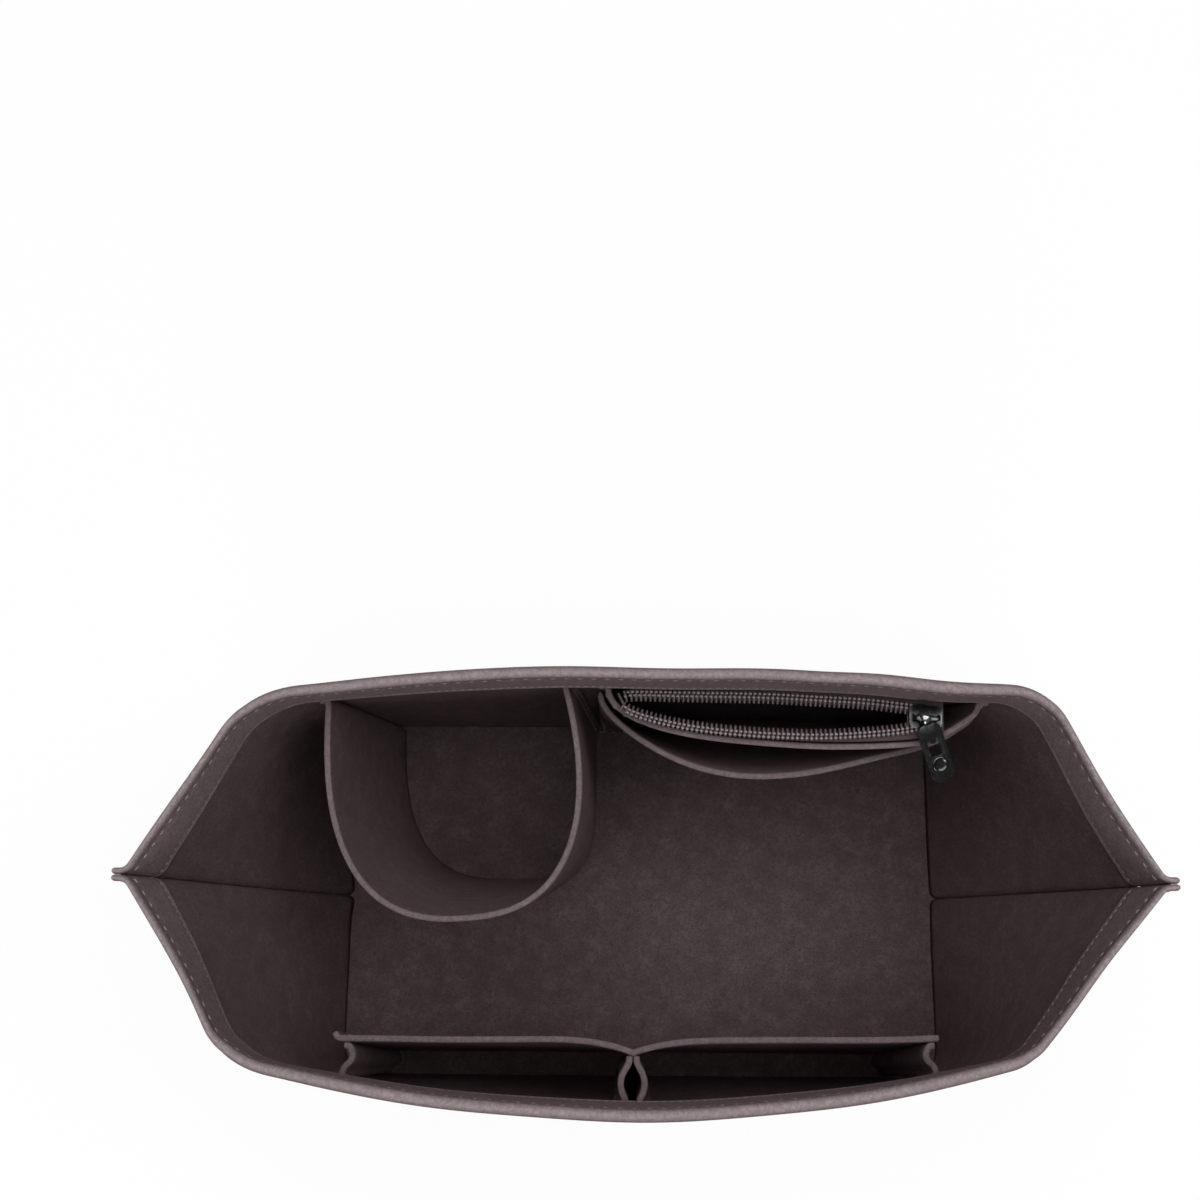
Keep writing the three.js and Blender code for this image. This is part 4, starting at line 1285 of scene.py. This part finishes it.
def make_tape(name, side, face, node):
    """Flat under the teeth, then turned down along the felt where there is room."""
    top = COIL_FLOOR - GAP

    def room(z, at):
        return side * (face(at, z) - chain_line(at)) - WALL_GAP

    rings = []
    for x in np.linspace(TAPE_START, CHAIN[1][0], TAPE_STEPS):
        beside = all(room(top, at) > TAPE_REACH for at in (x - 3, x, x + 3))
        inner = side * (tips(side, x) - chain_line(x)) + 1.0
        drop = TAPE_FALL if beside else TAPE_SHORT_FALL
        upper = room(top, x) if beside else TAPE_REACH
        lower = room(top - TAPE_FALL, x) if beside else TAPE_REACH
        line = [(inner, top), (mix(inner, upper, 0.5), top), (upper - 0.8, top)]
        line += [(upper - 0.25, top - 0.25), (upper, top - 0.8)]
        line += [(mix(upper, lower, 0.5), top - drop / 2 - 0.4), (lower, top - drop)]
        back = [
            (a - (TAPE_THICK if i > 2 else 0), b - (TAPE_THICK if i < 4 else 0.1))
            for i, (a, b) in enumerate(line)
        ]
        rings.append([(x, chain_line(x) + side * a, z) for a, z in line + back[::-1]])
    points, faces = skin(rings)
    tape = new_object(name, ripple(points), faces, tape_cloth)
    return settle(face_out(tape), "felt_box", "tape_cloth", node)


make_tape("zip_tape_back_cloth", 1, lambda x, z: wall_face(BACK, x, z), "zip_tape_back")
tape_front = make_tape("zip_tape_front_cloth", -1, zip_panel_face, "zip_tape_front")

# %% [markdown]
# One tooth is a loop of the nylon coil: two legs that lie over each other, joined by a
# round head that reaches into the opening. Geometry Nodes draw it as a bent curve with
# a round section, and set one at each step along the line of tips.

# %% A tree for the teeth
def tooth_tree():
    tree, given, end = new_tree("zip_teeth", (
        ("Lines", "Geometry", None), ("Pitch", "Float", 0.00178),
        ("Tooth reach", "Float", 0.0035), ("Wire radius", "Float", 0.0004),
        ("Loop height", "Float", 0.00055), ("Nylon", "Material", None),
    ), "Teeth")
    points, turn = along_lines(tree, given)
    far, high = given["Tooth reach"], given["Loop height"]
    head, low_leg = times(tree, far, -0.36), times(tree, high, -1.0)
    bend = {
        label: add_node(tree, "ShaderNodeCombineXYZ", {"Z": reach, "Y": level})
        for label, reach, level in (
            ("Start", far, high), ("Start Handle", head, high),
            ("End Handle", head, low_leg), ("End", far, low_leg),
        )
    }
    loop = add_node(tree, "GeometryNodeCurvePrimitiveBezierSegment", mode="POSITION")
    fill(loop, {"Resolution": 9, **bend})
    ring = add_node(tree, "GeometryNodeCurvePrimitiveCircle", {
        "Resolution": 6, "Radius": given["Wire radius"],
    })
    wire = add_node(tree, "GeometryNodeCurveToMesh", {
        "Curve": loop, "Profile Curve": ring, "Fill Caps": True,
    })
    return repeat_on(tree, points, wire, turn, given["Nylon"], end)


TEETH = tooth_tree()
TIP_LIFT = 0.9
TOOTH = {
    "Pitch": PITCH * MM, "Tooth reach": 4.0 * MM, "Wire radius": 0.5 * MM,
    "Loop height": 0.42 * MM, "Nylon": coil_nylon,
}


def tip_row(side, phase):
    """The line of tooth tips; out points from a tip to its root."""
    xs = np.linspace(CHAIN[0][0] + phase * PITCH, CHAIN[1][0] - 1, 400)
    line = np.array([(x, tips(side, x), COIL_FLOOR + TIP_LIFT) for x in xs])
    along = np.gradient(line[:, :2], axis=0)
    along /= np.linalg.norm(along, axis=1)[:, None]
    outs = [(-side * ay, side * ax, 0) for ax, ay in along]
    return ripple(line), outs


teeth = {}
for side, phase, name, node in (
    (1, 0, "zip_teeth_back", "zip_coil_back"),
    (-1, 0.5, "zip_teeth_front", "zip_coil_front"),
):
    row = line_object(name, [tip_row(side, phase)])
    grow_on(row, TEETH, TOOTH)
    teeth[name] = settle(row, "felt_box", "coil_nylon", node)

# %% [markdown]
# Two rows of thread hold each coil to its tape. They pass between the teeth, so from
# above they read as two lines of small beads, which the stitch tree gives at the pitch
# of the teeth.

# %% Thread over the teeth, and the zip's seams
BEADS = {"pitch": PITCH, "length": 1.35, "radius": 0.46, "bow": 0.12}
BEAD_LIFT, BEAD_ROWS = 1.85, ((1.9, 0), (3.3, 0.5))


def bead_row(side, back, phase):
    first = CHAIN[0][0] + (0.5 + phase) * PITCH
    line = [
        (x, tips(side, x) + side * back, COIL_FLOOR + BEAD_LIFT)
        for x in np.arange(first, CHAIN[1][0] - 2, PITCH / 4)
    ]
    return ripple(line), [(0, 0, 1)] * len(line)


beads = {
    hand: sew("thread_on_coil_" + hand, [bead_row(side, *row) for row in BEAD_ROWS], **BEADS)
    for hand, side in (("back", 1), ("front", -1))
}
lip_thread = sew("thread_on_zip_lip", [level_row(zip_panel_plan, ZIP_LIP - 4.0, 4)], length=2.4)

# %% [markdown]
# The slider runs along the line of the closed teeth, which is a little askew to the box.
# So its pieces are drawn in their own plain directions, then turned and moved into place
# by one matrix, and the turn is written into the mesh.

# %% Slider's own frame
SLIDER_ANGLE = math.atan2(CHAIN[1][1] - CHAIN[0][1], CHAIN[1][0] - CHAIN[0][0])
SLIDER_AT = Vector((SLIDER_X, chain_line(SLIDER_X) + SHIFT, 0)) * MM
TO_SLIDER = Matrix.Translation(SLIDER_AT) @ Matrix.Rotation(SLIDER_ANGLE, 4, "Z")
PLATE, TEETH_HIGH, TAPE_ROOM, CROWN_HIGH, CROWN_HALF = 1.0, 1.8, 0.6, 4.6, 0.35
UPPER_FOOT = COIL_FLOOR + TEETH_HIGH + GAP
UPPER_TOP = UPPER_FOOT + PLATE
LOWER_TOP = COIL_FLOOR - GAP - TAPE_ROOM - GAP
LOWER_FOOT = LOWER_TOP - PLATE
CROWN_TOP = UPPER_TOP + CROWN_HIGH
HINGE = CROWN_TOP - CROWN_HALF
CROWN_FOOT, CROWN_LEAN = UPPER_TOP + GAP, 1.4
print("slider turned by degrees:", round(math.degrees(SLIDER_ANGLE), 2))


def bevelled(piece, width, steps=3, angle=35):
    soft = piece.modifiers.new("soft_edges", "BEVEL")
    soft.width = width * MM
    soft.segments = steps
    soft.limit_method = "ANGLE"
    soft.angle_limit = math.radians(angle)
    ready = piece.evaluated_get(bpy.context.evaluated_depsgraph_get())
    mesh = bpy.data.meshes.new_from_object(ready)
    piece.modifiers.clear()
    piece.data = mesh
    return piece


def prism(outline, low, high):
    """Points and faces of an outline pushed up from one height to another."""
    count = len(outline)
    points = [(x, y, low) for x, y in outline] + [(x, y, high) for x, y in outline]
    faces = [tuple(range(count))[::-1], tuple(range(count, 2 * count))]
    faces += [(k, (k + 1) % count, count + (k + 1) % count, count + k) for k in range(count)]
    return points, faces


def gather(parts):
    points, faces = [], []
    for some_points, some_faces in parts:
        first = len(points)
        points += list(some_points)
        faces += [tuple(v + first for v in face) for face in some_faces]
    return points, faces


def smooth_closed(outline, times=3):
    """Rounds a closed outline by cutting its corners."""
    path = np.array(outline, float)
    for _ in range(times):
        after = np.roll(path, -1, axis=0)
        path = np.stack([mix(path, after, 0.25), mix(path, after, 0.75)], 1).reshape(-1, 2)
    return path


# %% Slider body
def slider_outline():
    """Half of the outline listed from nose to tail, and its mirror image."""
    wide, slim = 4.8, 4.3
    half = [
        (-6.1, -2.2), (-5.4, -3.9), (-3.0, -wide), (-0.6, -wide), (0.6, -slim),
        (4.6, -slim), (6.1, -slim + 0.6),
    ]
    return smooth_closed(half + [(x, -y) for x, y in half[::-1]], 2)


def make_slider_body():
    outline = slider_outline()
    parts = [prism(outline, UPPER_FOOT, UPPER_TOP), prism(outline, LOWER_FOOT, LOWER_TOP)]
    post = [(-4.8, -0.45), (-2.2, -0.45), (-2.2, 0.45), (-4.8, 0.45)]
    parts.append(prism(post, LOWER_TOP - 0.3, UPPER_FOOT + 0.3))
    for side in (-1, 1):
        near, far = side * 3.6, side * 4.25
        flange = [(1.4, near), (4.9, near), (4.9, far), (1.4, far)]
        parts.append(prism(flange[::side], COIL_FLOOR, UPPER_FOOT + 0.4))
    points, faces = gather(parts)
    body = new_object("zip_slider_body", points, faces, slider_highlight_metal)
    face_out(body)
    bevelled(body, 0.47, 4)
    body.data.transform(TO_SLIDER)
    return settle(body, "zip_slider", "gunmetal", "slider_body")


make_slider_body()


# %% [markdown]
# The crown is a curved strap from nose to tail. It is broad in the middle and rounded at
# both shoulders, so it is lofted: a rounded section is carried along the arch.

# %% Crown and lock spring
def loft(path, section):
    """Carries a closed section of (y, n) points along a path in X and Z."""
    path = np.asarray(path)
    step = np.gradient(path, axis=0)
    step /= np.linalg.norm(step, axis=1)[:, None]
    rings = []
    for (x, z), (along, up) in zip(path, step):
        rings.append([(x - up * n, y, z + along * n) for y, n in section])
    return skin(rings)


def pill(half_width, half_thick, steps=16, power=2.6):
    out = []
    for k in range(steps):
        a = 2 * math.pi * k / steps
        c, s = math.cos(a), math.sin(a)
        y = half_width * math.copysign(abs(c) ** (2 / power), c)
        n = half_thick * math.copysign(abs(s) ** (2 / power), s)
        out.append((y, n))
    return out


def lean(z):
    """How far the crown leans to the puller's side at a height."""
    return -CROWN_LEAN * (z - CROWN_FOOT) / (CROWN_TOP - CROWN_FOOT)


def make_crown():
    half = [(4.85, UPPER_TOP + 0.32), (4.85, CROWN_TOP - 1.6), (3.7, HINGE)]
    path = eased([(-x, z) for x, z in half] + half[::-1], 0.25, 4)
    points, faces = loft(path, pill(0.95, CROWN_HALF))
    points = [(x, y + lean(z), z) for x, y, z in points]
    crown = new_object("zip_slider_crown", points, faces, gunmetal)
    face_out(crown).data.transform(TO_SLIDER)
    return settle(crown, "zip_slider", "gunmetal", "slider_crown")


def make_lock_spring():
    level = UPPER_TOP + 0.45
    path = eased([(-3.2, level), (2.1, level), (2.5, level - 0.3), (2.55, UPPER_FOOT + 0.1)])
    points, faces = loft(path, pill(0.7, 0.15))
    leaf = new_object("zip_slider_spring", points, faces, gunmetal)
    face_out(leaf).data.transform(TO_SLIDER)
    return settle(leaf, "zip_slider", "gunmetal", "slider_lock_spring")


make_crown()
make_lock_spring()

# %% [markdown]
# The pull tab hangs on the crown by a barrel. The tab is a flat plate with round ends, a
# window with a small tongue at its top, and a plain round boss where a maker might put
# a sign. A plate with a hole is easiest as two outlines bridged by faces.

# %% Pull tab
TAB_LENGTH, TAB_HALF, TAB_SLAB = 26.5, 4.65, 0.7
PITCH_DOWN, TAB_YAW, TAB_SETBACK = math.radians(24), math.radians(24.5), 1.2
BOSS_DOWN, BOSS_LIFT = 18.9, 0.12
TO_TAB = (
    TO_SLIDER
    @ Matrix.Translation(Vector((-TAB_SETBACK, lean(HINGE), HINGE)) * MM)
    @ Matrix.Rotation(TAB_YAW, 4, "Z")
    @ Matrix.Rotation(PITCH_DOWN, 4, "X")
)


def tab_rim():
    """The plate's outline, from its neck round the far end and back."""
    neck, round_top = 1.5, -2.5
    rim = [(-neck, round_top), (-2.6, -2.6), (-3.7, -3.3), (-TAB_HALF, -4.6)]
    for k in range(25):
        a = math.pi + math.pi * k / 24
        rim.append((TAB_HALF * math.cos(a), -TAB_LENGTH + TAB_HALF + TAB_HALF * math.sin(a)))
    rim += [(TAB_HALF, -4.6), (3.7, -3.3), (2.6, -2.6), (neck, round_top)]
    return rim


def tab_window():
    wide, top, bottom = 2.25, -8.5, -15.3
    window = [(-wide, top - 0.4), (-wide + 0.3, top)]
    for k in range(9):
        a = math.pi + math.pi * k / 8
        window.append((1.5 * math.cos(a), top - 0.5 + 1.4 * math.sin(a)))
    window += [(wide - 0.3, top), (wide, top - 0.4), (wide, bottom + 0.6), (wide - 0.6, bottom)]
    window += [(-wide + 0.6, bottom), (-wide, bottom + 0.6)]
    return window


def make_tab():
    work = bmesh.new()
    loops = []
    for outline in (tab_rim(), tab_window()):
        verts = [work.verts.new((x, y, 0)) for x, y in outline]
        loops += [work.edges.new(pair) for pair in zip(verts, verts[1:] + verts[:1])]
    bmesh.ops.triangle_fill(work, edges=loops, use_beauty=True, use_dissolve=False)
    flat = list(work.faces)
    push = bmesh.ops.extrude_face_region(work, geom=flat)
    raised = [v for v in push["geom"] if isinstance(v, bmesh.types.BMVert)]
    bmesh.ops.translate(work, verts=raised, vec=(0, 0, 2 * TAB_SLAB))
    bmesh.ops.translate(work, verts=work.verts, vec=(0, 0, -TAB_SLAB))
    bmesh.ops.recalc_face_normals(work, faces=work.faces)
    bmesh.ops.dissolve_limit(work, angle_limit=0.01, verts=work.verts, edges=work.edges)
    mesh = bpy.data.meshes.new("plate")
    work.to_mesh(mesh)
    work.free()
    plate = ([tuple(v.co) for v in mesh.vertices], [tuple(f.vertices) for f in mesh.polygons])
    bpy.data.meshes.remove(mesh)
    return plate


def turned(profile, steps=40):
    """Spins a profile of (radius, height) pairs; closed where the radius is zero."""
    points, faces = [], []
    loop = len(profile)
    for i in range(steps):
        a = 2 * math.pi * i / steps
        points += [(r * math.cos(a), r * math.sin(a), z) for r, z in profile]
        for j in range(loop - 1):
            here, after = i * loop + j, (i + 1) % steps * loop + j
            faces.append((here, after, after + 1, here + 1))
    return points, faces


def make_puller():
    boss, boss_faces = turned([
        (0.0, 0.0), (1.7, 0.02), (2.15, 0.10), (2.3, 0.28), (2.55, 0.36), (2.85, 0.30),
        (3.1, 0.05), (3.15, -0.4), (0.0, -0.4),
    ])
    boss = [(x, y - BOSS_DOWN, z + TAB_SLAB + BOSS_LIFT) for x, y, z in boss]
    outer, inner, half = 2.9, 2.2, 1.5
    rim = [(inner, half - 0.15), (inner + 0.2, half), (outer - 0.25, half), (outer, half - 0.25)]
    rim = [(r, -z) for r, z in rim] + rim[::-1]
    ring, ring_faces = turned([*rim, rim[0]])
    ring = [(z, x, y) for x, y, z in ring]
    for name, (points, faces), metal, nodes in (
        ("pull_tab", make_tab(), gunmetal, ["puller"]),
        ("pull_boss", (boss, boss_faces), gunmetal, []),
        # The barrel's lighter metal is a painted highlight.
        ("pull_barrel", (ring, ring_faces), barrel_metal_painted_highlight, []),
    ):
        piece = face_out(new_object(name, points, faces, metal))
        if nodes:
            bevelled(piece, 0.3, 3, 50)
        piece.data.transform(TO_TAB)
        settle(piece, "pull_tab", "gunmetal", *nodes)


make_puller()

# %% [markdown]
# When the slider travels left, the zip closes behind it. Here the pieces that close with it only
# get meshes of their own.

# %% Pieces that close with the zip get their own meshes
ROW_LINE, ROW_KEEP = 1.0, 0.4
PANEL_LINE, PANEL_KEEP = 5.0, 0.5


def close_with_slider(pieces, keep):
    """Gives each piece its own mesh, and prints the share it would keep."""
    for piece in pieces:
        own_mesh(piece)
        print(piece.name, "closes to a share of", keep)


close_with_slider([teeth["zip_teeth_front"], beads["front"], tape_front], ROW_KEEP)
close_with_slider([zip_panel, lip_thread], PANEL_KEEP)
